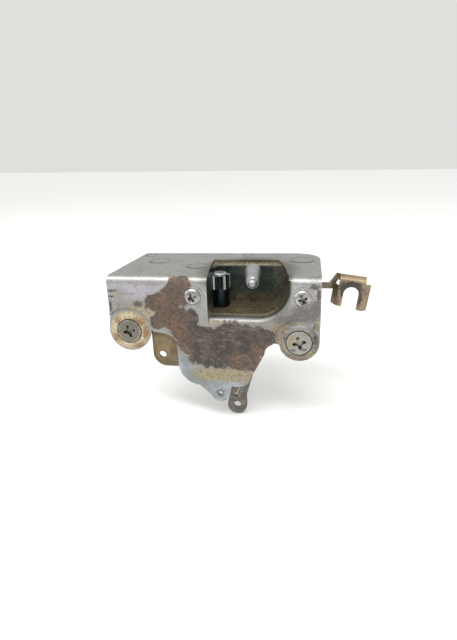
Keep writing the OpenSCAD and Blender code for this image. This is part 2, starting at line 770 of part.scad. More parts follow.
// The fork: a plate with a rod slot, rolled back over its top edge to the arm
module fork() {
    roll_out = (slide_y + slide_t - fork_y) / 2;
    roll_z = 22.3;
    leg_low = 5.2;
    left = fork_c[0] - 9.4;
    right = fork_c[0] + 9.6;
    translate([fork_c[0], 0, fork_c[1]]) rotate([0, fork_tilt, 0]) translate([-fork_c[0], 0, -fork_c[1]]) {
        difference() {
            union() {
                upright(fork_y, slide_t) polygon([[left + 2.5, leg_low + 0.8], [left + 2.5, roll_z - roll_out],
                    [right - 3, roll_z - roll_out], [right - 3, leg_low - 0.4]]);
                translate([left + 2.5, 0, 0]) rotate([90, 0, 90]) linear_extrude(right - left - 5.5) intersection() {
                    translate([fork_y + roll_out, roll_z - roll_out]) difference() {
                        circle(r = roll_out);
                        circle(r = roll_out - slide_t);
                    }
                    translate([fork_y - 1, roll_z - roll_out]) square(20);
                }
                fork_flange(left, left + 2.5, leg_low + 0.8, roll_z - roll_out - 1.5, 4.5);
                fork_flange(right, right - 3, leg_low - 0.4, roll_z - roll_out + 0.5, 3);
            }
            upright(fork_y - 1, 12) union() {
                translate(fork_c) circle(r = fork_slot_r);
                translate([fork_c[0] - fork_slot_r, leg_low - 5]) square([2 * fork_slot_r, fork_c[1] - leg_low + 5]);
            }
        }
    }
}

// A side flange of the fork, turned back from the plate's edge
module fork_flange(outer, inner, low, high, depth) {
    translate([0, 0, low]) linear_extrude(high - low)
        polygon([[inner, fork_y], [outer, fork_y + depth], [outer + (inner > outer ? 1.3 : -1.3), fork_y + depth + 1],
                 [inner, fork_y + slide_t]]);
}

module slide_studs() {
    color("silver") for (x = stud_x) {
        bar_y([x, stud_z], housing_back - stud_hold, housing_back + eps, stud_r - 0.5);
        bar_y([x, stud_z], housing_back, slide_y + slide_t + 0.15, stud_r);
        bar_y([x, stud_z], slide_y + slide_t + 0.15, slide_y + slide_t + 1.2, stud_r + stud_flange);
    }
}

module housing_screws() {
    color("lightgray") for (x = housing_screw_x) difference() {
        turned_y([x, housing_screw_z], -0.4)
            polygon([[0, -1.9], [pan_head_r * 0.45, -1.8], [pan_head_r * 0.8, -1.35], [pan_head_r, -0.5],
                     [pan_head_r, 0], [housing_screw_r, 0], [housing_screw_r, housing_screw_end], [0, housing_screw_end]]);
        upright(-3, 2) translate([x, housing_screw_z]) rotate(20) cross_outline(2.3);
    }
}

module fixing_screws() {
    color("darkgray") for (fix = [left_fix, right_fix]) difference() {
        turned_y(fix, 0.3)
            polygon([[0, -0.35], [fix_head_r * 0.6, -0.28], [fix_head_r, 0],
                     [fix_r, fix_head_r - fix_r - 0.65], [fix_r, nut_y + nut_h - 0.3],
                     [fix_end_r, nut_y + nut_h - 0.3], [fix_end_r, fix_reach - 1],
                     [fix_end_r - 0.7, fix_reach], [0, fix_reach]]);
        upright(-1, 2.6) translate(fix) rotate(14) cross_outline(3.4);
    }
}

module weld_nuts() {
    color("gray") for (fix = [left_fix, right_fix]) difference() {
        translate([fix[0], nut_y + nut_h, fix[1]]) rotate([90, 0, 0]) cylinder(h = nut_h, r = nut_r, $fn = 6);
        bar_y(fix, nut_y - 1, nut_y + nut_h + 1, fix_r + 0.03);
    }
}

// Flush rivets in the shut face: x, y, head radius, shank radius, reach below the plate
shut_rivets = [[pocket_left - 9, 23.1, 5.2, 1.9, 2.8],
               [left_x + 17.5, 34.6, 5.2, 2.5, 1.2],
               [pocket_right + 5.55, 38.5, 6.3, 2.5, 1.2],
               [left_x + 7.95, case_depth - 6, 3, 1.5, 1.2],
               [pocket_left + 14.15, case_depth - 4.5, 3, 1.5, 1.2]];
rivet_head = 0.7;

module top_rivets() {
    color("lightgray") for (rivet = shut_rivets) {
        below = top_z - sheet_t;
        bar_z([rivet[0], rivet[1]], top_z - rivet_head, top_z - 0.06, rivet[2]);
        bar_z([rivet[0], rivet[1]], below - rivet[4], top_z - rivet_head + eps, rivet[3]);
        if (rivet[4] < 2)
            bar_z([rivet[0], rivet[1]], below - rivet[4], below, rivet[3] + 1.5);
    }
}

case_plate();
striker_housing();
guide_pin();
star_wheel();
rotor_shaft();
rotor_bush();
ratchet_wheel();
thrust_washer();
shaft_clip();
bearing_plate();
plate_pillars();
pawl();
pawl_pivot();
pawl_spring();
release_lever();
release_pivot();
release_spring();
spring_post();
remote_lever();
remote_pivot();
spacer_washer();
lock_slide();
slide_studs();
housing_screws();
fixing_screws();
weld_nuts();
top_rivets();
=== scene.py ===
# %% [markdown]
# # A worn rotary door lock
# The lock is a pressed steel plate that folds over a corner pocket. A toothed rotor and a
# tapered pin stand in the pocket, two levers hang below, and a fork slides at the right.
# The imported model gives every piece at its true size, so this script adds the finishes: zinc
# plate gone dull, brown rust, grease, and the small crumbs that a drawing leaves out.

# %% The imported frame
import json
import math
import bmesh
import bpy
from mathutils import Matrix, Vector


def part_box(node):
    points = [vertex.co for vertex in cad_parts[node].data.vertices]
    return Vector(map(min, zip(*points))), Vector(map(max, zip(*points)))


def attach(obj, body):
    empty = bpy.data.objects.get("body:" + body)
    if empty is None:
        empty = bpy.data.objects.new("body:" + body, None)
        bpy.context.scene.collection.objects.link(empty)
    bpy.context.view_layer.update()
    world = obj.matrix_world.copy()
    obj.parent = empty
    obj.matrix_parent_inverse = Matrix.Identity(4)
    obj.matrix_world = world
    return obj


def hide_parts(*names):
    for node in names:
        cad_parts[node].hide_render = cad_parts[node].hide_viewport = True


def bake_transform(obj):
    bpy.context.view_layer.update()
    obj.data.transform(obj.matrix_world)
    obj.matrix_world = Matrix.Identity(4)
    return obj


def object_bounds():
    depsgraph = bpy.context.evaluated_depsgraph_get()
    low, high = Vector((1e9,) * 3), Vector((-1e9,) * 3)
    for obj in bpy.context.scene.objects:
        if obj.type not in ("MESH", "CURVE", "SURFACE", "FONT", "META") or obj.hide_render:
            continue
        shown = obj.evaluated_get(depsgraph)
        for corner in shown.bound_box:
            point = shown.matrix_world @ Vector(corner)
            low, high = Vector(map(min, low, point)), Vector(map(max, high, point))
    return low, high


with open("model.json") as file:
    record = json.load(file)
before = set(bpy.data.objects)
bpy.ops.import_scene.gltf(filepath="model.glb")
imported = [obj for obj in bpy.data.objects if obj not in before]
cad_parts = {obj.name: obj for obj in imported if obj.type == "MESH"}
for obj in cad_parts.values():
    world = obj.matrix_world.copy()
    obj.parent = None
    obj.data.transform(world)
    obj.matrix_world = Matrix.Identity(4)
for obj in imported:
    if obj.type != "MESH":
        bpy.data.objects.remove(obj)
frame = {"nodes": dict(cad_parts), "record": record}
cad_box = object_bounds()
parts = frame["nodes"]
MM = 0.001
print("pieces in the frame:", len(parts))

# %% [markdown]
# ## Camera
# The photograph was taken with a phone, close by: its lens takes in as much as a 26 mm lens
# does on a 36 mm sensor. The direction was worked out from the two fixing screws, the case's
# edges and the guide pin, and the camera leans two degrees to one side.

# %% The photograph's viewpoint
AZIMUTH, ELEVATION, ROLL = (math.radians(a) for a in (9.99, 20.0, -2.0))
CAMERA_PLACE = (45.65, -209.3, 84.9)
LENS, SENSOR_WIDTH = 26, 36
NEAREST_SEEN = 0.005

back = Vector((math.sin(AZIMUTH) * math.cos(ELEVATION),
               -math.cos(AZIMUTH) * math.cos(ELEVATION), math.sin(ELEVATION)))
level = Vector((math.cos(AZIMUTH), math.sin(AZIMUTH), 0))
upright = back.cross(level)
right = level * math.cos(ROLL) + upright * math.sin(ROLL)
up = upright * math.cos(ROLL) - level * math.sin(ROLL)

lens = bpy.data.cameras.new("camera")
lens.lens = LENS
lens.sensor_width = SENSOR_WIDTH
lens.clip_start = NEAREST_SEEN
camera = bpy.data.objects.new("camera", lens)
camera.matrix_world = Matrix((right, up, back)).transposed().to_4x4()
camera.location = Vector(CAMERA_PLACE) * MM
bpy.context.scene.collection.objects.link(camera)
bpy.context.scene.camera = camera
bpy.context.scene.view_settings.view_transform = "Standard"
print("camera at", [round(c, 4) for c in camera.location])

# %% [markdown]
# ## Node helpers
# A material is a tree of small nodes. Written out one by one they would fill pages, so a few
# helpers keep the trees readable. `fill` gives a socket either a value or another node's
# output, and `put` adds a node. `number` and `vector` add one step of arithmetic. `between`
# stretches a value, `fade` does so downwards, and `colour_between` mixes two colours. `over`
# lays one more coat on a tone. All finishes below are built from these few.

# %% Adding nodes
def fill(tree, socket, value):
    """Gives a socket a value, or links another node's output to it."""
    if isinstance(value, bpy.types.NodeSocket):
        tree.links.new(value, socket)
    else:
        socket.default_value = value


def put(tree, kind, settings=None, **inputs):
    """A new node; an input's name has _ where the socket's name has a space."""
    made = tree.nodes.new(kind)
    for name, value in (settings or {}).items():
        setattr(made, name, value)
    for name, value in inputs.items():
        fill(tree, made.inputs[name.replace("_", " ")], value)
    return made


def number(tree, operation, *values):
    made = tree.nodes.new("ShaderNodeMath")
    made.operation = operation
    for socket, value in zip(made.inputs, values):
        fill(tree, socket, value)
    return made.outputs[0]


def vector(tree, operation, *values):
    made = tree.nodes.new("ShaderNodeVectorMath")
    made.operation = operation
    for socket, value in zip(made.inputs, values):
        fill(tree, socket, value)
    return made.outputs


# %% Sums and masks
def product(tree, one, other):
    return number(tree, "MULTIPLY", one, other)


def moved(tree, pattern, amount, value):
    """A value pushed up and down by amount times a pattern, which frays any border on it."""
    return number(tree, "MULTIPLY_ADD", pattern, amount, value)


def highest(tree, first, *others):
    return number(tree, "MAXIMUM", first, highest(tree, *others)) if others else first


def between(tree, value, from_low, from_high, to_low=0.0, to_high=1.0):
    """Stretches a value from one range to another, with soft ends."""
    return put(tree, "ShaderNodeMapRange", {"interpolation_type": "SMOOTHSTEP"}, Value=value,
               From_Min=from_low, From_Max=from_high, To_Min=to_low, To_Max=to_high).outputs[0]


def fade(tree, value, start, end):
    """1 where a value is below start, and 0 where it is above end."""
    return between(tree, value, start, end, 1.0, 0.0)


# %% Colours and coats
def colour_between(tree, mask, low, high):
    """The colour low where mask is 0, and high where it is 1."""
    made = tree.nodes.new("ShaderNodeMix")
    made.data_type = "RGBA"
    for socket, value in zip((made.inputs[0], made.inputs[6], made.inputs[7]), (mask, low, high)):
        fill(tree, socket, value)
    return made.outputs[2]


def over(tree, tone, mask, amount, colour):
    """Lays a colour over a tone where the mask is, at most as strong as amount."""
    return colour_between(tree, product(tree, mask, amount), tone, colour)


def coats(tree, tone, layers):
    """Lays several coats on a tone, one over another: each is a mask, its amount and its colour."""
    for mask, amount, colour in layers:
        tone = over(tree, tone, mask, amount, colour)
    return tone


# %% Places and noise
def object_place(tree):
    """Where a surface point lies, in metres, in the lock's own axes."""
    return put(tree, "ShaderNodeTexCoord").outputs["Object"]


def object_axes(tree):
    """The same place as its separate X, Y and Z."""
    return put(tree, "ShaderNodeSeparateXYZ", Vector=object_place(tree)).outputs


def noise(tree, place, scale, detail=4.0, roughness=0.6):
    return put(tree, "ShaderNodeTexNoise", Vector=place, Scale=scale, Detail=detail,
               Roughness=roughness).outputs[0]


def centred_noise(tree, scale, detail, roughness=0.6):
    """A noise that goes evenly above and below nothing, to fray a border with."""
    return number(tree, "SUBTRACT", noise(tree, object_place(tree), scale, detail, roughness), 0.5)


# %% Node groups
NUMBER = "NodeSocketFloat"
PLACE = "NodeSocketVector"
COLOUR = "NodeSocketColor"


def new_group(name, inputs, outputs):
    """An empty shader node group with named sockets; returns the tree, its inputs and its end."""
    tree = bpy.data.node_groups.new(name, "ShaderNodeTree")
    for label, (kind, value) in inputs.items():
        tree.interface.new_socket(label, in_out="INPUT", socket_type=kind).default_value = value
    for label, kind in outputs.items():
        tree.interface.new_socket(label, in_out="OUTPUT", socket_type=kind)
    print("group", name, "puts out", ", ".join(outputs))
    return tree, tree.nodes.new("NodeGroupInput").outputs, tree.nodes.new("NodeGroupOutput").inputs


def use_group(tree, group, **values):
    made = tree.nodes.new("ShaderNodeGroup")
    made.node_tree = group
    for name, value in values.items():
        fill(tree, made.inputs[name.replace("_", " ")], value)
    return made.outputs


# %% [markdown]
# ## Shared effects
# The same few things happen to every part of an old lock. Edges are rubbed bright, grease
# stays in corners, the plate has a fine grain with long scratches, and turned pieces carry
# level marks. The grease in corners is laid where ambient occlusion finds them sheltered, so it
# is painted shade as well. Each effect is one node group, built once and used by the finishes
# with their own values. Painting them by hand would be quicker for one view, but not for all sides.

# %% How far a point lies from a patch, in patch radii
patch_reach, given, result = new_group(
    "patch reach", {"Centre": (PLACE, (0, 0, 0)), "Radii": (PLACE, (0.01, 0.01, 0.01))},
    {"Reach": NUMBER})
away = vector(patch_reach, "SUBTRACT", object_place(patch_reach), given["Centre"])[0]
scaled = vector(patch_reach, "DIVIDE", away, given["Radii"])[0]
patch_reach.links.new(vector(patch_reach, "LENGTH", scaled)["Value"], result["Reach"])

# %% Rubbed edges
EDGE_BEND = (0.86, 0.99)
EDGE_GAPS = (0.38, 0.62)

rubbed, given, result = new_group(
    "rubbed edge", {"Width": (NUMBER, 0.0006), "Breaks": (NUMBER, 900.0)}, {"Mask": NUMBER})
soft_normal = put(rubbed, "ShaderNodeBevel", {"samples": 6}, Radius=given["Width"]).outputs[0]
true_normal = put(rubbed, "ShaderNodeNewGeometry").outputs["Normal"]
facing = vector(rubbed, "DOT_PRODUCT", soft_normal, true_normal)["Value"]
breaks = noise(rubbed, object_place(rubbed), given["Breaks"], detail=3.0, roughness=0.5)
near_edge = fade(rubbed, facing, *EDGE_BEND)
kept = between(rubbed, breaks, *EDGE_GAPS)
rubbed.links.new(product(rubbed, near_edge, kept), result["Mask"])

# %% Grease in corners with painted shade: darker where ambient occlusion finds them sheltered
SHELTERED = (0.5, 0.82)
CLUMP_AMOUNT, CLUMP_MEAN = 0.35, 0.17

painted_shade_and_settled, given, result = new_group(
    "settled grease", {"Depth": (NUMBER, 0.004), "Grain": (NUMBER, 420.0)}, {"Mask": NUMBER})
# ambient occlusion: sheltered places get the mask, which paints shade there as well as grease
open_sky = put(painted_shade_and_settled, "ShaderNodeAmbientOcclusion", {"samples": 8},
               Distance=given["Depth"]).outputs["AO"]
clumps = noise(painted_shade_and_settled, object_place(painted_shade_and_settled), given["Grain"])
openness = moved(painted_shade_and_settled, clumps, CLUMP_AMOUNT, number(painted_shade_and_settled, "SUBTRACT", open_sky, CLUMP_MEAN))
painted_shade_and_settled.links.new(fade(painted_shade_and_settled, openness, *SHELTERED), result["Mask"])

# %% Grain, clouds and specks of old sheet metal
SPECKS_PER_METRE = 300.0
SMALLEST_SPECK, GATHERED_SPECKS = 0.01, 0.2
GATHERING = (0.46, 0.6)

skin, given, result = new_group(
    "sheet skin", {"Grain": (NUMBER, 1500.0), "Clouds": (NUMBER, 70.0)},
    {"Cloud": NUMBER, "Fine": NUMBER, "Speck": NUMBER})
place = object_place(skin)
dots = put(skin, "ShaderNodeTexVoronoi", Vector=place, Scale=SPECKS_PER_METRE,
           Randomness=1.0).outputs["Distance"]
skin.links.new(noise(skin, place, given["Clouds"], detail=5.0), result["Cloud"])
skin.links.new(noise(skin, place, given["Grain"], detail=3.0, roughness=0.7), result["Fine"])
gathered = between(skin, noise(skin, place, scale=110.0, detail=3.0), *GATHERING, 0.0, GATHERED_SPECKS)
speck_reach = number(skin, "ADD", gathered, SMALLEST_SPECK)
skin.links.new(fade(skin, dots, 0.0, speck_reach), result["Speck"])

# %% Long scratches: a noise drawn out along one direction
SCRATCH_SOFTNESS = 0.12
SCRATCH_GAPS = (0.42, 0.6)

scratched, given, result = new_group(
    "long scratches",
    {"Angle": (NUMBER, 0.0), "Stretch": (PLACE, (0.05, 1.0, 1.0)), "Spacing": (NUMBER, 1800.0),
     "Rarity": (NUMBER, 0.56)},
    {"Mask": NUMBER})
place = object_place(scratched)
tilted = put(scratched, "ShaderNodeVectorRotate", {"rotation_type": "Y_AXIS"}, Vector=place,
             Angle=given["Angle"]).outputs[0]
drawn = vector(scratched, "MULTIPLY", tilted, given["Stretch"])[0]
lines = noise(scratched, drawn, given["Spacing"], detail=3.0, roughness=0.7)
line_mask = between(scratched, lines, given["Rarity"],
                    number(scratched, "ADD", given["Rarity"], SCRATCH_SOFTNESS))
gap_mask = between(scratched, noise(scratched, place, scale=150.0, detail=2.0), *SCRATCH_GAPS)
scratched.links.new(product(scratched, line_mask, gap_mask), result["Mask"])

# %% Level marks left by turning or by the striker's teeth
MARK_WAVINESS = 0.0006
MARK_EDGE = (0.12, 0.38)

marked, given, result = new_group("level marks", {"Spacing": (NUMBER, 0.0009)}, {"Mask": NUMBER})
waviness = noise(marked, object_place(marked), scale=500.0, detail=2.0)
waved = moved(marked, waviness, MARK_WAVINESS, object_axes(marked)["Z"])
wave = number(marked, "PINGPONG", number(marked, "DIVIDE", waved, given["Spacing"]), 0.5)
marked.links.new(between(marked, wave, *MARK_EDGE), result["Mask"])

# %% Rust colours: dark crust where Brown is 0, red-brown with orange where it is 1
DARK_CRUST = ((0.025, 0.02, 0.017, 1), (0.073, 0.056, 0.047, 1))
BROWN_CRUST = ((0.042, 0.027, 0.02, 1), (0.152, 0.1, 0.07, 1))
ORANGE_RUST = (0.18, 0.08, 0.038, 1)
RUST_PIT = (0.028, 0.02, 0.016, 1)
RUST_STREAK = (0.25, 0.2, 0.165, 1)
LUMP_BORDER, PIT_BORDER = (0.28, 0.72), (0.34, 0.46)
ORANGE_BORDER, ORANGE_AMOUNT = (0.5, 0.64), 0.42

rust_colours, given, result = new_group(
    "rust colours", {"Brown": (NUMBER, 0.5)}, {"Colour": COLOUR, "Height": NUMBER})
place = object_place(rust_colours)
coarse = noise(rust_colours, place, scale=560.0, detail=6.0, roughness=0.76)
fine = noise(rust_colours, place, scale=1700.0, detail=3.0, roughness=0.7)
wide = noise(rust_colours, place, scale=140.0, detail=3.0)
lumps = between(rust_colours, coarse, *LUMP_BORDER)
dark = colour_between(rust_colours, lumps, *DARK_CRUST)
brown = colour_between(rust_colours, lumps, *BROWN_CRUST)
orange_places = between(rust_colours, wide, *ORANGE_BORDER)
brown = over(rust_colours, brown, orange_places, ORANGE_AMOUNT, ORANGE_RUST)
tone = colour_between(rust_colours, given["Brown"], dark, brown)
pits = between(rust_colours, fine, *PIT_BORDER, to_low=0.75, to_high=0.0)
tone = colour_between(rust_colours, pits, tone, RUST_PIT)

# %% Streaks rubbed into the rust: slanting ones everywhere, nearly level ones on the dark crust
SLANT, NEARLY_LEVEL = math.radians(-48), math.radians(-7)

slanting = use_group(rust_colours, scratched, Angle=SLANT, Stretch=(0.07, 1, 1), Spacing=2000.0,
                     Rarity=0.51)
level_streaks = use_group(rust_colours, scratched, Angle=NEARLY_LEVEL, Stretch=(0.035, 1, 1),
                          Spacing=2300.0, Rarity=0.49)
on_dark = product(rust_colours, number(rust_colours, "SUBTRACT", 1.0, given["Brown"]), 0.55)
streaks = highest(rust_colours, product(rust_colours, slanting["Mask"], 0.5),
                  product(rust_colours, level_streaks["Mask"], on_dark))
tone = colour_between(rust_colours, streaks, tone, RUST_STREAK)
rust_colours.links.new(tone, result["Colour"])
rust_colours.links.new(moved(rust_colours, fine, 0.35, coarse), result["Height"])
print("shared effects:", [g.name for g in bpy.data.node_groups])

# %% [markdown]
# ## Stains on the plate
# The front of the plate has several states. Upper left is satin zinc. A brown crust of rust
# spreads from a bump at the top, past the left pan screw, and fills the middle of the lobe.
# Under it is an olive stain, then bare blue-grey metal at the lowest edge. The left ear has a
# bead of yellow chromate, the right ear is purple-grey and tan. Each state is a list of oval
# patches that melt together, with edges frayed by noise. The rivets lie in the same plate, so
# plate and rivets share these stains. Rust and dirt keep to the outer side, which the
# surface's own direction tells, and the chromate goes round to the inner side as well.

# %% The stains: raggedness, softness, and ovals of x, z, half width, half height in millimetres
STAINS = {
    "Crust": (1.2, 0.09, [(-15.2, 25.2, 6.0, 4.6), (-17, 19.5, 8, 6), (-24.5, 15.8, 9.8, 5.4),
                          (-20, 9, 9.0, 7), (-27.5, 5.5, 4.5, 4), (-14, 2, 8.0, 8), (-9.5, 8, 3.4, 5),
                          (-5, -5, 14, 8.8), (2, -12.5, 15, 6.6), (13, -3.7, 17, 10.0),
                          (17, -14, 8.5, 6.4), (26, -4, 6.5, 7.5)]),
    "Brown": (1.3, 0.35, [(-17, 24, 8, 7), (-22, 14, 11, 7), (-21, 6, 10, 6), (-15, -3, 6, 7),
                          (17, -15, 9, 5.5), (25, -8, 6, 6)]),
    "Olive": (1.9, 0.35, [(-3, -22.6, 8, 3.7), (7, -21.8, 11, 4.8), (9.5, -17, 2.2, 3.6),
                          (16, -19.6, 6, 6.4)]),
    "Bare": (0.4, 0.1, [(-15.6, -19, 4.2, 6.4), (-11.5, -24.5, 6.5, 4.6), (4, -28.4, 14, 2.6),
                        (3.3, -34, 6.5, 6.5)]),
    "Purple": (1.3, 0.4, [(45, 11, 8, 4.2), (37.5, 7.6, 6, 2.8), (50.4, 14.5, 3, 4), (50, -5, 3.5, 6.5),
                          (44, -12, 7, 2.4)]),
    "Tan": (2.6, 0.5, [(33.5, 2.6, 5.6, 4.0), (32, -3, 4.0, 6.4), (36.4, -10, 4, 3.4),
                       (44, -12.4, 8, 1.6)]),
    "Cream": (2.2, 0.5, [(-30.5, 9.2, 5.2, 2.6), (-36, 12.4, 6, 1.5), (2, 6.3, 3.4, 0.9), (11, 5.9, 4, 0.8),
                         (44, 6.4, 4, 0.8), (49, -9.5, 3.4, 2.4), (51.6, 5.4, 0.9, 3.6),
                         (37.4, -5.6, 1.6, 2.6), (42, -9.2, 3.4, 0.9)]),
    "Lavender": (0.9, 0.6, [(-34, 22, 15, 4.6), (-44, 17, 6, 4)]),
    "Warm": (1.4, 0.6, [(-40, 14.4, 11, 3.2), (-27, 12.2, 5, 3), (-48, 20, 4, 3)]),
    "Ring": (0.12, 0.05, [(-43.15, 0, 10.6, 10.6)]),
    "Ring rust": (3.4, 0.5, [(-38.4, 5.2, 4.0, 2.2), (-34.2, -0.6, 2.0, 4.0), (-37, -8.2, 5, 1.8),
                             (-50.8, -3.6, 2.0, 2.4), (-49, 5.8, 2.0, 1.6)]),
    "Dark mark": (3.2, 0.45, [(-37.2, 14.9, 2.5, 1.5), (-50.3, 21.6, 2.2, 0.7), (-50.9, 18.6, 1.6, 0.6),
                              (-51.6, 13.5, 0.8, 3.4), (49.6, 24.6, 2.4, 1.2), (51.8, 20.6, 1.0, 3.4),
                              (-1.2, 3.2, 1.0, 0.6), (7.4, 2.9, 0.8, 0.5), (3.3, -33.2, 2.1, 2.1),
                               (50.6, -1.6, 0.9, 2.2), (36.2, -1.4, 0.7, 1.6), (45.4, -9.6, 1.8, 0.6),
                               (50.2, 4.2, 0.6, 1.2)]),
    "Brown line": (1.0, 0.5, [(-42, 20.1, 6.5, 0.5), (-33.5, 18.4, 5, 0.4), (-31, 25.0, 12, 0.6),
                              (-40, 11.6, 9.5, 0.7)]),
}
FINELY_FRAYED = ("Ring rust", "Dark mark", "Brown line", "Olive", "Tan", "Cream")
BOTH_SIDES = ("Ring", "Ring rust", "Brown")
print("stain patches:", sum(len(places) for _, _, places in STAINS.values()))

# %% Melting patches into one mask
MELT = 0.2


def melt(tree, places):
    """How far a point lies from the nearest of some patches; places gives centres and radii."""
    nearest = None
    for centre, radii in places:
        reach = use_group(tree, patch_reach, Centre=centre, Radii=radii)["Reach"]
        nearest = reach if nearest is None else number(tree, "SMOOTH_MIN", nearest, reach, MELT)
    return nearest


def frayed_mask(tree, nearest, fray, ragged, softness):
    """1 inside patches and 0 outside, with a border that noise frays."""
    return fade(tree, moved(tree, fray, ragged, nearest), 1 - softness, 1 + softness)


# %% The plate's stains as one node group
OUTER_SIDE = (0.1, 0.7)

stains, given, result = new_group(
    "plate stains", {"Ragged": (NUMBER, 1.0), "Grain": (NUMBER, 230.0), "Depth": (NUMBER, 0.006)},
    {name: NUMBER for name in STAINS})
fray = product(stains, centred_noise(stains, given["Grain"], detail=7.0, roughness=0.68),
               given["Ragged"])
fine_fray = centred_noise(stains, scale=900.0, detail=4.0, roughness=0.7)
direction = put(stains, "ShaderNodeNewGeometry").outputs["Normal"]
inwards = put(stains, "ShaderNodeSeparateXYZ", Vector=direction).outputs["Y"]
outer_side = fade(stains, inwards, *OUTER_SIDE)
for name, (ragged, softness, ovals) in STAINS.items():
    places = [((x * MM, 0, z * MM),
               put(stains, "ShaderNodeCombineXYZ", X=wide * MM, Y=given["Depth"], Z=high * MM).outputs[0])
              for x, z, wide, high in ovals]
    mask = frayed_mask(stains, melt(stains, places), fine_fray if name in FINELY_FRAYED else fray,
                       ragged, softness)
    if name not in BOTH_SIDES:
        mask = product(stains, mask, outer_side)
    stains.links.new(mask, result[name])

# %% [markdown]
# ## Zinc plate
# Zinc that has stood for decades turns from bright to a soft grey with faint lavender clouds.
# It is still a metal, so its light comes from reflections. Rust, stains and dirt hide the
# metal, and chromate or a purple film dulls it. The finish is built coat over coat: the ground
# first, painted lighter high up and darker low down as a gradient of reflected light, then grime
# round the window and painted shade where its lip turns in at the right, dark seams round the
# rivets with painted shade in front, the stains, and at the end wear, with grease and painted
# shade in the corners. The rivets get the same coats with other tones. The colour could be
# painted on as an image, but nodes keep it sharp in any view.

# %% Starting a material
def start_material(name):
    """An empty material; returns it with its tree and its shader."""
    made = bpy.data.materials.new(name)
    made.use_nodes = True
    tree = made.node_tree
    tree.nodes.clear()
    shader = tree.nodes.new("ShaderNodeBsdfPrincipled")
    output = tree.nodes.new("ShaderNodeOutputMaterial")
    tree.links.new(shader.outputs[0], output.inputs[0])
    print("finish", name)
    return made, tree, shader


def bump(tree, height, strength, distance, **more):
    return put(tree, "ShaderNodeBump", Height=height, Strength=strength, Distance=distance,
               **more).outputs[0]


def mean_of(tree, one, other):
    return moved(tree, one, 0.5, product(tree, other, 0.5))


# %% The zinc's ground: painted lighter high up and darker low down; clouded, blotched, scratched
COVER_HEIGHT = (0.0272, 0.0284)
PAINTED_LIGHT_HEIGHT = (0.012, 0.032)
LAVENDER_CLOUD = (0.4, 0.385, 0.44, 1)
COVER_GREY = (0.33, 0.34, 0.31, 1)
CLOUD_GREY = (0.27, 0.26, 0.235, 1)
BLOTCH_BROWN = (0.2, 0.185, 0.155, 1)
GRAIN_BROWN = (0.17, 0.16, 0.135, 1)
WARM_FILM = (0.26, 0.225, 0.175, 1)
SCRATCH_BROWN = (0.2, 0.185, 0.16, 1)
COVER_SCRATCH = (0.2, 0.2, 0.18, 1)


def zinc_ground(tree, surface, state, height, on_cover, clean, dull):
    # painted gradient of reflected light: the ground is lighter higher up and darker low down
    painted_light_part = between(tree, moved(tree, surface["Cloud"], 0.012, height), *PAINTED_LIGHT_HEIGHT)
    blotches = noise(tree, object_place(tree), scale=260.0, detail=6.0, roughness=0.75)
    level_lines = use_group(tree, scratched, Angle=math.radians(4), Stretch=(0.04, 1, 1),
                            Spacing=1500.0)
    cover_lines = use_group(tree, scratched, Stretch=(0.04, 1, 0.04), Spacing=1300.0)
    return coats(tree, colour_between(tree, painted_light_part, dull, clean), [
        (state["Lavender"], 0.75, LAVENDER_CLOUD),
        (on_cover, 0.7, COVER_GREY),
        (between(tree, surface["Cloud"], 0.42, 0.68), 0.6, CLOUD_GREY),
        (between(tree, blotches, 0.5, 0.66), 0.55, BLOTCH_BROWN),
        (between(tree, surface["Fine"], 0.5, 0.7), 0.7, GRAIN_BROWN),
        (state["Warm"], 0.5, WARM_FILM),
        (level_lines["Mask"], 0.35, SCRATCH_BROWN),
        (product(tree, cover_lines["Mask"], on_cover), 0.4, COVER_SCRATCH)])


# %% Grime round the window, and painted shade where the lip turns in at the right
WINDOW_MIDDLE = (0.0165, 0.0165, 0.029)
WINDOW_RADII = (0.0242, 0.0265, 0.014)
WINDOW_DIRT = (0.095, 0.09, 0.06, 1)
LIP_CENTRE = (0.02285, 0.023)
LIP_RADIUS = 0.015
LIP_SHADE_RANGE = (LIP_RADIUS + 0.0006, LIP_RADIUS + 0.0038)
LIP_RIGHT = (0.022, 0.034)
LIP_DEPTH = (0.008, 0.010)
LIP_PAINTED_SHADE = (0.09, 0.086, 0.06, 1)


def excess(tree, larger, smaller):
    """How far one number is above another, and 0 where it is below."""
    return number(tree, "MAXIMUM", number(tree, "SUBTRACT", larger, smaller), 0.0)


def window_grime_and_lip_shade(tree, surface, place):
    window = use_group(tree, patch_reach, Centre=WINDOW_MIDDLE, Radii=WINDOW_RADII)["Reach"]
    window = moved(tree, surface["Cloud"], 0.5, window)
    # painted shade: a dark band round the window's lower right corner, where the lip rolls in
    past_corner = put(tree, "ShaderNodeCombineXYZ", X=excess(tree, place["X"], LIP_CENTRE[0]),
                      Y=excess(tree, LIP_CENTRE[1], place["Z"])).outputs[0]
    from_lip = moved(tree, surface["Cloud"], 0.0018, vector(tree, "LENGTH", past_corner)["Value"])
    right_front = product(tree, between(tree, place["X"], *LIP_RIGHT), fade(tree, place["Y"], *LIP_DEPTH))
    return [(fade(tree, window, 1.02, 1.45), 0.9, WINDOW_DIRT),
            (product(tree, fade(tree, from_lip, *LIP_SHADE_RANGE), right_front), 0.9, LIP_PAINTED_SHADE)]


# %% Dark seams with painted shade round the flush rivets, strongest in front: x, y, radius in millimetres
FLUSH_RIVETS = [(-10.55, 23.1, 5.2), (-34.95, 34.6, 5.2), (43.4, 38.5, 6.3), (-44.5, 49, 3),
                (12.6, 50.5, 3)]
RIVET_SEAM_AND_SHADE = (0.03, 0.029, 0.02, 1)
BEHIND_RIVET = 0.12


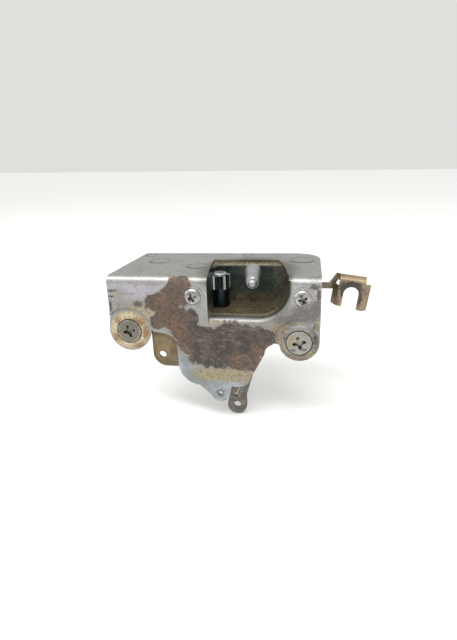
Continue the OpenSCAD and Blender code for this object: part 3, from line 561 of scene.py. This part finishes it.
def rivet_seam_and_shade(tree, place, on_cover, x, y, radius):
    gap = use_group(tree, patch_reach, Centre=(x * MM, y * MM, 0),
                    Radii=(radius * MM, radius * MM, 1))["Reach"]
    line = product(tree, between(tree, gap, 0.84, 0.96), fade(tree, gap, 1.1, 1.42))
    # painted shade: the dark line is strongest on the rivets' front side and weak behind
    in_front = between(tree, place["Y"], (y - 0.2 * radius) * MM, (y - 0.85 * radius) * MM,
                       to_low=BEHIND_RIVET)
    return product(tree, line, product(tree, in_front, on_cover)), 1.0, RIVET_SEAM_AND_SHADE


# %% Coats of stain; a pair of colours is for where a mottle is low and where it is high
STAIN_BROWN = (0.27, 0.19, 0.115, 1)
PURPLE_GREY = (0.125, 0.114, 0.118, 1)
RUBBED_BRIGHT = (0.5, 0.49, 0.48, 1)
TAN = ((0.1, 0.07, 0.045, 1), (0.29, 0.22, 0.15, 1))
CREAM = ((0.13, 0.095, 0.045, 1), (0.37, 0.315, 0.19, 1))
CHROMATE = ((0.56, 0.51, 0.36, 1), (0.32, 0.24, 0.1, 1))
CHROMATE_RUST = (0.25, 0.12, 0.04, 1)
BARE_METAL = ((0.35, 0.38, 0.41, 1), (0.19, 0.21, 0.22, 1))
OLIVE = ((0.17, 0.138, 0.082, 1), (0.315, 0.27, 0.17, 1))
CRUST_RIM = (0.42, 0.39, 0.34, 1)
DARK_MARK = (0.09, 0.072, 0.052, 1)


def stain_coats(tree, surface, state, rust_colour):
    mottle = noise(tree, object_place(tree), scale=560.0, detail=7.0, roughness=0.82)
    mottle = between(tree, mottle, 0.4, 0.56)
    slants = use_group(tree, scratched, Angle=math.radians(28), Stretch=(0.05, 1, 1), Spacing=1700.0)
    bead = colour_between(tree, between(tree, surface["Fine"], 0.42, 0.6), *CHROMATE)
    bead = over(tree, bead, state["Ring rust"], 0.85, CHROMATE_RUST)
    cloudy = between(tree, mean_of(tree, surface["Fine"], surface["Cloud"]), 0.42, 0.58)
    # highest halfway through the crust's soft border, and almost nothing on both sides of it
    half_crust = number(tree, "PINGPONG", product(tree, state["Crust"], 0.98), 0.5)
    rim = product(tree, half_crust, 2.0)
    return [
        (state["Brown line"], 0.35, STAIN_BROWN),
        (state["Purple"], 0.85, PURPLE_GREY),
        (product(tree, slants["Mask"], state["Purple"]), 0.75, RUBBED_BRIGHT),
        (state["Tan"], 0.85, colour_between(tree, mottle, *TAN)),
        (state["Cream"], 0.72, colour_between(tree, mottle, *CREAM)),
        (state["Ring"], 0.92, bead),
        (state["Bare"], 0.95, colour_between(tree, cloudy, *BARE_METAL)),
        (state["Olive"], 0.95, colour_between(tree, mottle, *OLIVE)),
        (state["Crust"], 1.0, rust_colour),
        (product(tree, rim, surface["Fine"]), 0.8, CRUST_RIM),
        (state["Dark mark"], 0.85, DARK_MARK)]


# %% How the coats dull the metal and lift its surface
def zinc_gloss(tree, shader, surface, state, corners):
    """Crust, stains and dirt hide the metal; chromate, purple film and bare grey do so in part."""
    stained = highest(tree, state["Crust"], corners, state["Olive"])
    stained = highest(tree, stained, state["Tan"], state["Cream"])
    filmed = highest(tree, product(tree, state["Ring"], 0.55), product(tree, state["Purple"], 0.4),
                     product(tree, state["Bare"], 0.4))
    matt = highest(tree, stained, filmed)
    tree.links.new(between(tree, matt, 0.0, 1.0, to_low=0.9, to_high=0.0), shader.inputs["Metallic"])
    satin = moved(tree, surface["Cloud"], 0.34, 0.26)
    stain_gloss = between(tree, matt, 0.0, 1.0, to_low=0.25, to_high=0.72)
    tree.links.new(highest(tree, satin, stain_gloss), shader.inputs["Roughness"])


def zinc_relief(tree, shader, surface, crust, rust_height):
    waves = bump(tree, surface["Cloud"], strength=0.16, distance=0.0006)
    relief = product(tree, crust, number(tree, "ADD", rust_height, 0.5))
    relief = moved(tree, surface["Fine"], 0.2, relief)
    relief = bump(tree, relief, strength=0.7, distance=0.00022, Normal=waves)
    tree.links.new(relief, shader.inputs["Normal"])


# %% The zinc finish
EDGE_GREY = (0.55, 0.54, 0.5, 1)
CORNER_GREASE_AND_SHADE = (0.085, 0.072, 0.043, 1)
DARK_SPECK = (0.05, 0.042, 0.032, 1)


def zinc_finish(name, clean, dull, grime):
    """clean is its tone high up and dull its tone low down, a painted gradient of reflected light;
    grime is how much grease and painted shade its corners hold, 0 to 1.
    """
    made, tree, shader = start_material(name)
    surface = use_group(tree, skin, Clouds=60.0)
    state = use_group(tree, stains)
    rust = use_group(tree, rust_colours, Brown=state["Brown"])
    place = object_axes(tree)
    on_cover = between(tree, place["Z"], *COVER_HEIGHT)
    # grease and painted shade in the corners, from the ambient occlusion group
    corners = product(tree, use_group(tree, painted_shade_and_settled, Depth=0.0028)["Mask"], grime)

    tone = zinc_ground(tree, surface, state, place["Z"], on_cover, clean, dull)
    tone = coats(tree, tone, window_grime_and_lip_shade(tree, surface, place))
    tone = coats(tree, tone, [rivet_seam_and_shade(tree, place, on_cover, *rivet) for rivet in FLUSH_RIVETS])
    tone = coats(tree, tone, stain_coats(tree, surface, state, rust["Colour"]))
    tone = coats(tree, tone, [(use_group(tree, rubbed, Width=0.0006)["Mask"], 0.5, EDGE_GREY),
                              (corners, 1.0, CORNER_GREASE_AND_SHADE),
                              (surface["Speck"], 0.75, DARK_SPECK)])
    tree.links.new(tone, shader.inputs["Base Color"])
    zinc_gloss(tree, shader, surface, state, corners)
    zinc_relief(tree, shader, surface, state["Crust"], rust["Height"])
    return made


finishes = {
    "case_steel": zinc_finish("worn zinc plate", clean=(0.42, 0.42, 0.425, 1),
                              dull=(0.3, 0.295, 0.29, 1), grime=0.85),
    "rivet_steel": zinc_finish("worn zinc rivets", clean=(0.39, 0.39, 0.385, 1),
                               dull=(0.29, 0.285, 0.27, 1), grime=0.9),
}

# %% [markdown]
# ## Smaller steel pieces
# The levers, screws, pin and rotor are the same steel in different states. One function makes
# such a finish from its clean and dull colour, how shiny it still is, and how much rust,
# grease and rubbed edge it carries. The grease sits in corners that ambient occlusion finds,
# so it is painted shade as well. A list of patches can lay a further colour on one place,
# such as the yellow left on a screw or the black worn round the fork's slot. The rotor is
# bright only where the striker rubs it: on its teeth's ends and on top. The dull bronze of
# the bush and the springs' wire differ in their tones alone, so they use the function too.

# %% Patches of colour on a small piece
PATCH_GRAIN = 700.0
PATCH_RAGGED, PATCH_SOFTNESS = 1.1, 0.25


def patch_mask(tree, balls):
    """The union of frayed balls: x, y, z and the three half widths in millimetres."""
    places = [((x * MM, y * MM, z * MM), (wide * MM, deep * MM, high * MM))
              for x, y, z, wide, deep, high in balls]
    fray = centred_noise(tree, PATCH_GRAIN, detail=5.0)
    return frayed_mask(tree, melt(tree, places), fray, PATCH_RAGGED, PATCH_SOFTNESS)


def worn_masks(tree, axis_x, axis_y, radius, top):
    """What lies outside a radius, and that together with what lies above a height."""
    reach = use_group(tree, patch_reach, Centre=(axis_x, axis_y, 0), Radii=(radius, radius, 1))["Reach"]
    outside = between(tree, reach, 0.98, 1.03)
    on_top = between(tree, object_axes(tree)["Z"], top - 0.0004, top)
    return outside, highest(tree, outside, on_top)


# %% A plated or bare steel finish
STEEL_GRAIN, STEEL_CLOUDS = 1300.0, 150.0
STEEL_GREASE_AND_SHADE = (0.045, 0.036, 0.022, 1)
STEEL_SPECK = (0.06, 0.045, 0.03, 1)


def shade(colour, factor):
    return tuple(min(1, factor * c) for c in colour[:3]) + (1,)


def steel_finish(name, clean, dull, gloss, rust, grease, edges=0.5, metal=0.9, marks=0.0,
                 paint=(), depth=0.003, worn_beyond=None):
    """gloss is the roughness where it is clean; rust, grease, edges and marks go from 0 to 1.
    grease is grease and painted shade in sheltered corners.

    paint lists patches with a colour and an amount. worn_beyond is the x and y of an upright
    axis, a radius and a height: only what lies further out or higher is clean."""
    made, tree, shader = start_material(name)
    surface = use_group(tree, skin, Grain=STEEL_GRAIN, Clouds=STEEL_CLOUDS)
    cloudy = between(tree, mean_of(tree, surface["Cloud"], surface["Fine"]), 0.4, 0.6)
    tone = colour_between(tree, cloudy, clean, dull)
    lines = use_group(tree, marked)["Mask"]
    if worn_beyond:
        outside, worn = worn_masks(tree, *worn_beyond)
        tone = colour_between(tree, worn, dull, clean)
        lines = product(tree, lines, outside)
    # the more rust, the lower the border above which the clouds count as rusty
    rust_mask = between(tree, surface["Cloud"], 0.64 - 0.24 * rust, 0.76 - 0.2 * rust)
    rust_mask = product(tree, rust_mask, between(tree, surface["Fine"], 0.3, 0.55, to_low=0.5))
    rust_tone = use_group(tree, rust_colours, Brown=1.0)["Colour"]
    # grease in corners from ambient occlusion: grease and painted shade together
    grease_and_shade_mask = product(tree, use_group(tree, painted_shade_and_settled, Depth=depth)["Mask"], grease)
    tone = over(tree, tone, lines, marks, shade(clean, 0.25))
    tone = coats(tree, tone, [(patch_mask(tree, balls), amount, colour) for balls, colour, amount in paint])
    tone = coats(tree, tone, [(rust_mask, min(1.0, 2 * rust), rust_tone),
                              (use_group(tree, rubbed)["Mask"], edges, shade(clean, 1.4)),
                              (grease_and_shade_mask, 1.0, STEEL_GREASE_AND_SHADE),
                              (surface["Speck"], 0.5, STEEL_SPECK)])
    tree.links.new(tone, shader.inputs["Base Color"])
    dirty = highest(tree, rust_mask, grease_and_shade_mask)
    tree.links.new(between(tree, dirty, 0.0, 1.0, to_low=metal, to_high=0.1), shader.inputs["Metallic"])
    tree.links.new(between(tree, dirty, 0.0, 1.0, to_low=gloss, to_high=0.75), shader.inputs["Roughness"])
    height = moved(tree, rust_mask, 0.6, surface["Fine"])
    tree.links.new(bump(tree, height, strength=0.4, distance=0.00012), shader.inputs["Normal"])
    return made


# %% Places of those patches, each with its colour and amount
FORK_SLOT = [([(68.8, 29, 16.6, 6.4, 4, 3.6), (72.6, 29, 11.5, 2.2, 4, 5.0), (64.6, 29, 14, 1.2, 4, 2.4)],
              (0.05, 0.05, 0.056, 1), 0.92)]
FORK_DIRT = [([(61, 31, 12, 2.0, 6, 9)], (0.12, 0.095, 0.06, 1), 0.75),
             ([(55, 38, 17, 8, 16, 9)], (0.17, 0.155, 0.115, 1), 0.75)]
LEFT_SCREW = [([(-43.15, 0, 0, 7, 30, 7)], (0.13, 0.115, 0.08, 1), 0.85)]
RIGHT_SCREW = [([(43.15, 0, -3.7, 7, 30, 7)], (0.27, 0.255, 0.21, 1), 0.7),
               ([(39.6, 0, -1.2, 1.7, 4, 1.1), (38.6, 0, -4.6, 0.8, 4, 1.6), (45.4, 0, 0.8, 0.9, 4, 0.6)],
                (0.28, 0.22, 0.08, 1), 0.65),
               ([(40.2, 0, -7.6, 1.6, 4, 0.8), (45.6, 0, -7.0, 1.6, 4, 0.7)], (0.06, 0.07, 0.11, 1), 0.7)]
PAN_SCREWS = [([(-9.6, 0, 18.2, 1.2, 4, 1.5), (44.9, 0, 17.6, 2.0, 4, 1.6)],
               (0.075, 0.045, 0.035, 1), 0.85)]
HEAD_DIRT = [([(1.35, 20.8, 26, 2.4, 2.4, 2.5)], (0.06, 0.062, 0.045, 1), 0.85)]
LEVER_DIRT = [([(-33, 4, -9, 2.6, 5, 9), (-27, 4, -18.5, 9, 5, 2.2)], (0.11, 0.085, 0.05, 1), 0.6)]
print("patches:", sum(len(balls) for kind in (FORK_SLOT, FORK_DIRT, LEFT_SCREW, RIGHT_SCREW, PAN_SCREWS,
                                              HEAD_DIRT, LEVER_DIRT) for balls, _, _ in kind))

# %% The finishes of the pin, the rotor and its bush
ROTOR_CORE = (0.00135, 0.021, 0.0049, 0.0251)

finishes.update({
    "bright_steel": steel_finish(
        "rubbed pin steel", clean=(0.42, 0.42, 0.43, 1), dull=(0.27, 0.27, 0.265, 1),
        gloss=0.36, rust=0.0, grease=0.8, edges=0.3, paint=HEAD_DIRT),
    "rotor_steel": steel_finish(
        "greasy rotor steel", clean=(0.5, 0.51, 0.48, 1), dull=(0.012, 0.022, 0.024, 1),
        gloss=0.3, rust=0.0, grease=0.4, edges=0.3, marks=0.6, worn_beyond=ROTOR_CORE),
    "bush_bronze": steel_finish(
        "dull bronze", clean=(0.42, 0.3, 0.14, 1), dull=(0.3, 0.2, 0.1, 1),
        gloss=0.4, rust=0.1, grease=0.5),
})

# %% The finishes of the levers, the springs, the fork and the screws
finishes.update({
    "dark_steel": steel_finish(
        "dark lever steel", clean=(0.2, 0.19, 0.165, 1), dull=(0.1, 0.09, 0.075, 1),
        gloss=0.42, rust=0.35, grease=0.4, edges=0.6, metal=0.7),
    "spring_wire": steel_finish(
        "old spring wire", clean=(0.5, 0.44, 0.3, 1), dull=(0.32, 0.25, 0.14, 1),
        gloss=0.35, rust=0.2, grease=0.3),
    "tan_steel": steel_finish(
        "tan chromate", clean=(0.25, 0.18, 0.1, 1), dull=(0.115, 0.085, 0.047, 1),
        gloss=0.5, rust=0.45, grease=0.5, edges=0.6, metal=0.5, paint=LEVER_DIRT),
    "chromate_steel": steel_finish(
        "yellow-bronze chromate", clean=(0.36, 0.27, 0.17, 1), dull=(0.2, 0.15, 0.095, 1),
        gloss=0.42, rust=0.35, grease=0.5, edges=0.75, metal=0.75, paint=FORK_DIRT + FORK_SLOT),
    "screw_steel": steel_finish(
        "worn screw steel", clean=(0.45, 0.45, 0.455, 1), dull=(0.27, 0.265, 0.26, 1),
        gloss=0.36, rust=0.0, grease=1.0, edges=0.7, depth=0.002,
        paint=LEFT_SCREW + RIGHT_SCREW + PAN_SCREWS),
})
print("finishes:", sorted(finishes))

# %% [markdown]
# ## The pocket
# The striker housing is a die casting that has never been wiped. Wet black-green grease
# covers its back and its left, and thins to an olive-brown film on the floor and the curved
# wall, where the striker has pushed it out. Along the back edge the grease has dried to a
# golden crust. So the film's colour follows height, depth and the way to the right, broken up
# by noise. Three separate materials would meet in hard lines; one that blends has none.

# %% Wet grease and brown film
BROWN_FILM = ((0.036, 0.029, 0.015, 1), (0.15, 0.123, 0.07, 1))
WET_GREASE = ((0.004, 0.01, 0.0065, 1), (0.018, 0.033, 0.021, 1))
FILM_HEIGHT = (0.0095, 0.016)
FILM_RIGHT, FILM_AMOUNT = (0.027, 0.036), 0.75

casting, tree, shader = start_material("greasy casting")
surface = use_group(tree, skin, Grain=900.0, Clouds=150.0)
place = object_axes(tree)
blotch = centred_noise(tree, scale=260.0, detail=6.0, roughness=0.7)
film = colour_between(tree, between(tree, surface["Fine"], 0.36, 0.64), *BROWN_FILM)
wet = colour_between(tree, between(tree, blotch, -0.08, 0.12), *WET_GREASE)
low = fade(tree, moved(tree, blotch, 0.012, place["Z"]), *FILM_HEIGHT)
to_right = between(tree, moved(tree, blotch, 0.014, place["X"]), *FILM_RIGHT, to_high=FILM_AMOUNT)
tone = colour_between(tree, highest(tree, low, to_right), wet, film)

# %% Golden crust on the ledge, dried grease along the front, specks and rubbed edges
GOLDEN_CRUST = ((0.025, 0.022, 0.01, 1), (0.4, 0.34, 0.18, 1))
DRIED_GREASE = (0.34, 0.3, 0.18, 1)
PALE_SPECK = (0.2, 0.19, 0.12, 1)
RUBBED_CASTING = (0.2, 0.2, 0.16, 1)
LEDGE_HEIGHT, LEDGE_DEPTH = (0.0246, 0.0268), (0.03, 0.033)
NEAR_FRONT, NEAR_FLOOR = (0.0095, 0.006), (0.012, 0.009)

ledge = product(tree, between(tree, moved(tree, blotch, 0.012, place["Z"]), *LEDGE_HEIGHT),
                between(tree, place["Y"], *LEDGE_DEPTH))
gold = colour_between(tree, between(tree, surface["Fine"], 0.44, 0.6), *GOLDEN_CRUST)
tone = colour_between(tree, ledge, tone, gold)
front_edge = product(tree, between(tree, moved(tree, blotch, 0.006, place["Y"]), *NEAR_FRONT),
                     between(tree, place["Z"], *NEAR_FLOOR))
tone = coats(tree, tone, [(front_edge, 0.6, DRIED_GREASE),
                          (surface["Speck"], 0.5, PALE_SPECK),
                          (use_group(tree, rubbed, Width=0.0005)["Mask"], 0.35, RUBBED_CASTING)])
tree.links.new(tone, shader.inputs["Base Color"])
shader.inputs["Metallic"].default_value = 0.1
tree.links.new(between(tree, surface["Cloud"], 0.35, 0.65, to_low=0.25, to_high=0.55),
               shader.inputs["Roughness"])
relief = moved(tree, blotch, 1.5, surface["Fine"])
tree.links.new(bump(tree, relief, strength=0.6, distance=0.0003), shader.inputs["Normal"])
finishes["housing_casting"] = casting
print("finishes ready:", len(finishes))

# %% [markdown]
# ## Finishes onto the parts
# The record says which finish each part has. A CAD part keeps its mesh and its place; it is
# only given its material.

# %% Dressing the parts
slot_of = {row["node"]: row["material_slot"] for row in frame["record"]["subparts"]}
for name, part in parts.items():
    part.data.materials.clear()
    part.data.materials.append(finishes[slot_of[name]])
print("dressed:", len(parts))

# %% [markdown]
# ## Springs
# A coil spring pushes the release lever back, and another one the pawl. One leg leans on the
# case and the other on what moves, and the coil winds up as that turns. A drawn spring is one
# rigid wire, so its leg would cut through a lever that has turned. Here each spring is a copy
# of the drawn wire with its doubled points merged, shown in the drawn spring's place; it stays
# rigid and does not follow either body. Posing the wire by hand would suit only one position.

# %% Rigid copies of the springs of the release lever and the pawl
SAME_POINT = 1e-6


def winding_spring(name, first_body, last_body):
    """A copy of a CAD spring with its doubled points merged, shown in the spring's place; it stays rigid.
    """
    mesh = parts[name].data.copy()
    wire = bmesh.new()
    wire.from_mesh(mesh)
    bmesh.ops.remove_doubles(wire, verts=wire.verts, dist=SAME_POINT)
    wire.to_mesh(mesh)
    wire.free()
    spring = bpy.data.objects.new("winding_" + name, mesh)
    bpy.context.scene.collection.objects.link(spring)
    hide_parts(name)
    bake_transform(spring)
    print(spring.name, "winds between", first_body, "and", last_body)


winding_spring("release_spring", "case", "release")
winding_spring("pawl_spring", "pawl_body", "case")

# %% [markdown]
# ## Crumbs and scabs
# Rust does not lie flat: it lifts in small scabs. Dried grease breaks into crumbs that
# collect on the pocket's floor and its back ledge. Both are the same thing to make, many
# flattened lumps strewn on a few flat fields. So one function builds the Geometry Nodes for
# both: points at random on the fields, and a low lump on each, turned and scaled by chance
# from a fixed seed. Modelling lumps by hand would take hours, and a bump alone would leave
# the outline smooth.

# %% The strewing tree
LEAST_SCALE, GREATEST_SCALE = (0.4, 0.3, 0.4), (1.3, 1.0, 1.2)
LUMP_SUBDIVISIONS = 2


def strewing_tree(name, material):
    """Geometry Nodes that strew lumps over the faces they are given."""
    tree = bpy.data.node_groups.new(name, "GeometryNodeTree")
    sockets = tree.interface
    sockets.new_socket("Geometry", in_out="INPUT", socket_type="NodeSocketGeometry")
    for label, kind, value in (("Per square metre", NUMBER, 1e6), ("Size", NUMBER, 0.0005),
                               ("Flatness", NUMBER, 0.3), ("Seed", "NodeSocketInt", 1)):
        sockets.new_socket(label, in_out="INPUT", socket_type=kind).default_value = value
    sockets.new_socket("Geometry", in_out="OUTPUT", socket_type="NodeSocketGeometry")
    given = tree.nodes.new("NodeGroupInput").outputs
    strewn = put(tree, "GeometryNodeDistributePointsOnFaces", Mesh=given["Geometry"],
                 Density=given["Per square metre"], Seed=given["Seed"]).outputs
    lump = put(tree, "GeometryNodeMeshIcoSphere", Radius=given["Size"],
               Subdivisions=LUMP_SUBDIVISIONS).outputs["Mesh"]
    flat = put(tree, "ShaderNodeCombineXYZ", X=1.0, Y=1.0, Z=given["Flatness"]).outputs[0]
    flattened = put(tree, "GeometryNodeTransform", Geometry=lump, Scale=flat).outputs[0]
    sizes = put(tree, "FunctionNodeRandomValue", {"data_type": "FLOAT_VECTOR"}, Seed=given["Seed"])
    sizes.inputs[0].default_value = LEAST_SCALE
    sizes.inputs[1].default_value = GREATEST_SCALE
    spin = put(tree, "FunctionNodeRandomValue", {"data_type": "FLOAT"}, Seed=given["Seed"])
    spin.inputs[2].default_value = 0.0
    spin.inputs[3].default_value = 2 * math.pi
    turn = put(tree, "ShaderNodeCombineXYZ", Z=spin.outputs[1]).outputs[0]
    turned = put(tree, "FunctionNodeRotateRotation", {"rotation_space": "LOCAL"})
    fill(tree, turned.inputs[0], strewn["Rotation"])
    fill(tree, turned.inputs[1], put(tree, "FunctionNodeEulerToRotation", Euler=turn).outputs[0])
    placed = put(tree, "GeometryNodeInstanceOnPoints", Points=strewn["Points"], Instance=flattened,
                 Rotation=turned.outputs[0], Scale=sizes.outputs[0]).outputs[0]
    real = put(tree, "GeometryNodeRealizeInstances", Geometry=placed).outputs[0]
    finished = put(tree, "GeometryNodeSetMaterial", Geometry=real, Material=material).outputs[0]
    tree.links.new(finished, tree.nodes.new("NodeGroupOutput").inputs[0])
    return tree


# %% Strewing one kind of lump over its fields
def strew(name, fields, material, slot, **values):
    """Makes one piece; fields are flat outlines in millimetres, values are the tree's inputs."""
    mesh = bpy.data.meshes.new(name + "_fields")
    corners, faces = [], []
    for outline in fields:
        faces.append(range(len(corners), len(corners) + len(outline)))
        corners += [Vector(corner) * MM for corner in outline]
    mesh.from_pydata(corners, [], faces)
    field = bpy.data.objects.new(name + "_fields", mesh)
    bpy.context.scene.collection.objects.link(field)
    modifier = field.modifiers.new("strewing", "NODES")
    modifier.node_group = strewing_tree(name, material)
    ids = {item.name: item.identifier for item in modifier.node_group.interface.items_tree
           if item.in_out == "INPUT"}
    for label, value in values.items():
        modifier[ids[label.replace("_", " ")]] = value
    strewn = field.evaluated_get(bpy.context.evaluated_depsgraph_get())
    made = bpy.data.meshes.new_from_object(strewn)
    bpy.data.objects.remove(field)
    piece = bpy.data.objects.new(name, made)
    bpy.context.scene.collection.objects.link(piece)
    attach(piece, "case")
    print(name, "faces:", len(made.polygons))


# %% The shapes of the fields
OVAL_CORNERS = 24


def oval(x, z, wide, high):
    """A flat oval on the front plate's outer face, facing the viewer."""
    turns = [2 * math.pi * i / OVAL_CORNERS for i in range(OVAL_CORNERS)]
    return [(x + wide * math.cos(a), 0.0, z + high * math.sin(a)) for a in turns]


def level_field(x0, x1, y0, y1, z):
    return [(x0, y0, z), (x1, y0, z), (x1, y1, z), (x0, y1, z)]


# %% Finishes of the scabs and the crumbs
CRUMB_TONES = ((0.025, 0.021, 0.01, 1), (0.19, 0.155, 0.08, 1))

scab_finish, tree, shader = start_material("rust scabs")
rust = use_group(tree, rust_colours, Brown=use_group(tree, stains)["Brown"])
tree.links.new(rust["Colour"], shader.inputs["Base Color"])
tree.links.new(between(tree, rust["Height"], 0.3, 0.9, to_low=0.6, to_high=0.85),
               shader.inputs["Roughness"])

crumb_finish, tree, shader = start_material("dried grease crumbs")
dryness = between(tree, noise(tree, object_place(tree), scale=700.0, detail=3.0), 0.42, 0.58)
tree.links.new(colour_between(tree, dryness, *CRUMB_TONES), shader.inputs["Base Color"])
tree.links.new(between(tree, dryness, 0.0, 1.0, to_low=0.45, to_high=0.7), shader.inputs["Roughness"])

# %% Rust scabs on the plate and crumbs in the pocket
SCAB_OVALS = [(-17, 19.5, 6, 4), (-24.5, 15.6, 7.5, 3.8), (-20, 9, 6.5, 5), (-13.5, 2.5, 6, 6),
              (-5, -5, 10.5, 7), (2, -12.5, 10.5, 5), (13, -5, 12, 7.4), (17, -13.5, 5, 4.4),
              (25, -2.5, 4, 3.4)]
POCKET_FLOOR_Z = 8.0
ledge_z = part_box("striker_housing")[1].z / MM
strew("rust_scabs", [oval(*place) for place in SCAB_OVALS], scab_finish, "case_steel",
      Per_square_metre=1.1e6, Size=0.00042, Flatness=0.34, Seed=3)
strew("grease_crumbs",
      [level_field(-1.2, 24, 6.5, 28.5, POCKET_FLOOR_Z), level_field(-3.5, 30, 33.8, 37.6, ledge_z)],
      crumb_finish, "housing_casting", Per_square_metre=0.55e6, Size=0.00032, Flatness=0.55, Seed=7)

# %% [markdown]
# ## Floor and light
# The lock was photographed on white, in front of a light grey wall. The floor is a large pale
# sheet at the height of the lowest lever. Its far edge is where the photograph shows the wall
# begin. One long lamp above gives the bright line along the bend, a small one at the left
# lifts that side, and the surroundings fill the rest: bright overhead and darker at the
# sides, as a room is, so that the metal has something to reflect. The camera itself sees a
# plain wall.

# %% Floor
FLOOR_GAP = 0.0003
FLOOR_CORNERS = [(-6, -6), (8, -6), (8, -0.48), (-6, 5.74)]
PAPER_WHITE = (0.93, 0.93, 0.92, 1)

floor_z = cad_box[0].z - FLOOR_GAP
mesh = bpy.data.meshes.new("floor")
mesh.from_pydata([(x, y, floor_z) for x, y in FLOOR_CORNERS], [], [(0, 1, 2, 3)])
floor = bpy.data.objects.new("floor", mesh)
bpy.context.scene.collection.objects.link(floor)
paper, tree, shader = start_material("white paper")
shader.inputs["Base Color"].default_value = PAPER_WHITE
shader.inputs["Roughness"].default_value = 0.7
mesh.materials.append(paper)
print("floor at", round(floor_z, 4))

# %% Surroundings
SIDE_LIGHT, OVERHEAD_LIGHT = (0.66, 0.67, 0.67, 1), (1.02, 1.02, 1.0, 1)
WALL_GREY = (0.74, 0.74, 0.72, 1)
OVERHEAD = 0.85

world = bpy.data.worlds.new("surroundings")
world.use_nodes = True
room = world.node_tree
direction = put(room, "ShaderNodeTexCoord").outputs["Generated"]
steepness = put(room, "ShaderNodeSeparateXYZ", Vector=direction).outputs["Z"]
room_light = colour_between(room, between(room, steepness, 0.0, OVERHEAD), SIDE_LIGHT, OVERHEAD_LIGHT)
seen = put(room, "ShaderNodeLightPath").outputs["Is Camera Ray"]
fill(room, room.nodes["Background"].inputs[0], colour_between(room, seen, room_light, WALL_GREY))
bpy.context.scene.world = world
print("surroundings:", world.name)


# %% Lamps
LIT_POINT = (0, 0.02, 0)


def softbox(name, place, size, watts):
    """A rectangular lamp that shines at the lock."""
    light = bpy.data.lights.new(name, "AREA")
    light.shape = "RECTANGLE"
    light.size, light.size_y = size
    light.energy = watts
    lamp = bpy.data.objects.new(name, light)
    lamp.location = place
    lamp.rotation_euler = (Vector(LIT_POINT) - Vector(place)).to_track_quat("-Z", "Y").to_euler()
    bpy.context.scene.collection.objects.link(lamp)
    print("lamp", name, "of", watts, "W")


softbox("long_light", place=(-0.12, -0.3, 0.8), size=(1.0, 0.3), watts=6.0)
softbox("side_light", place=(-0.8, -0.1, 0.3), size=(0.4, 0.4), watts=1.5)
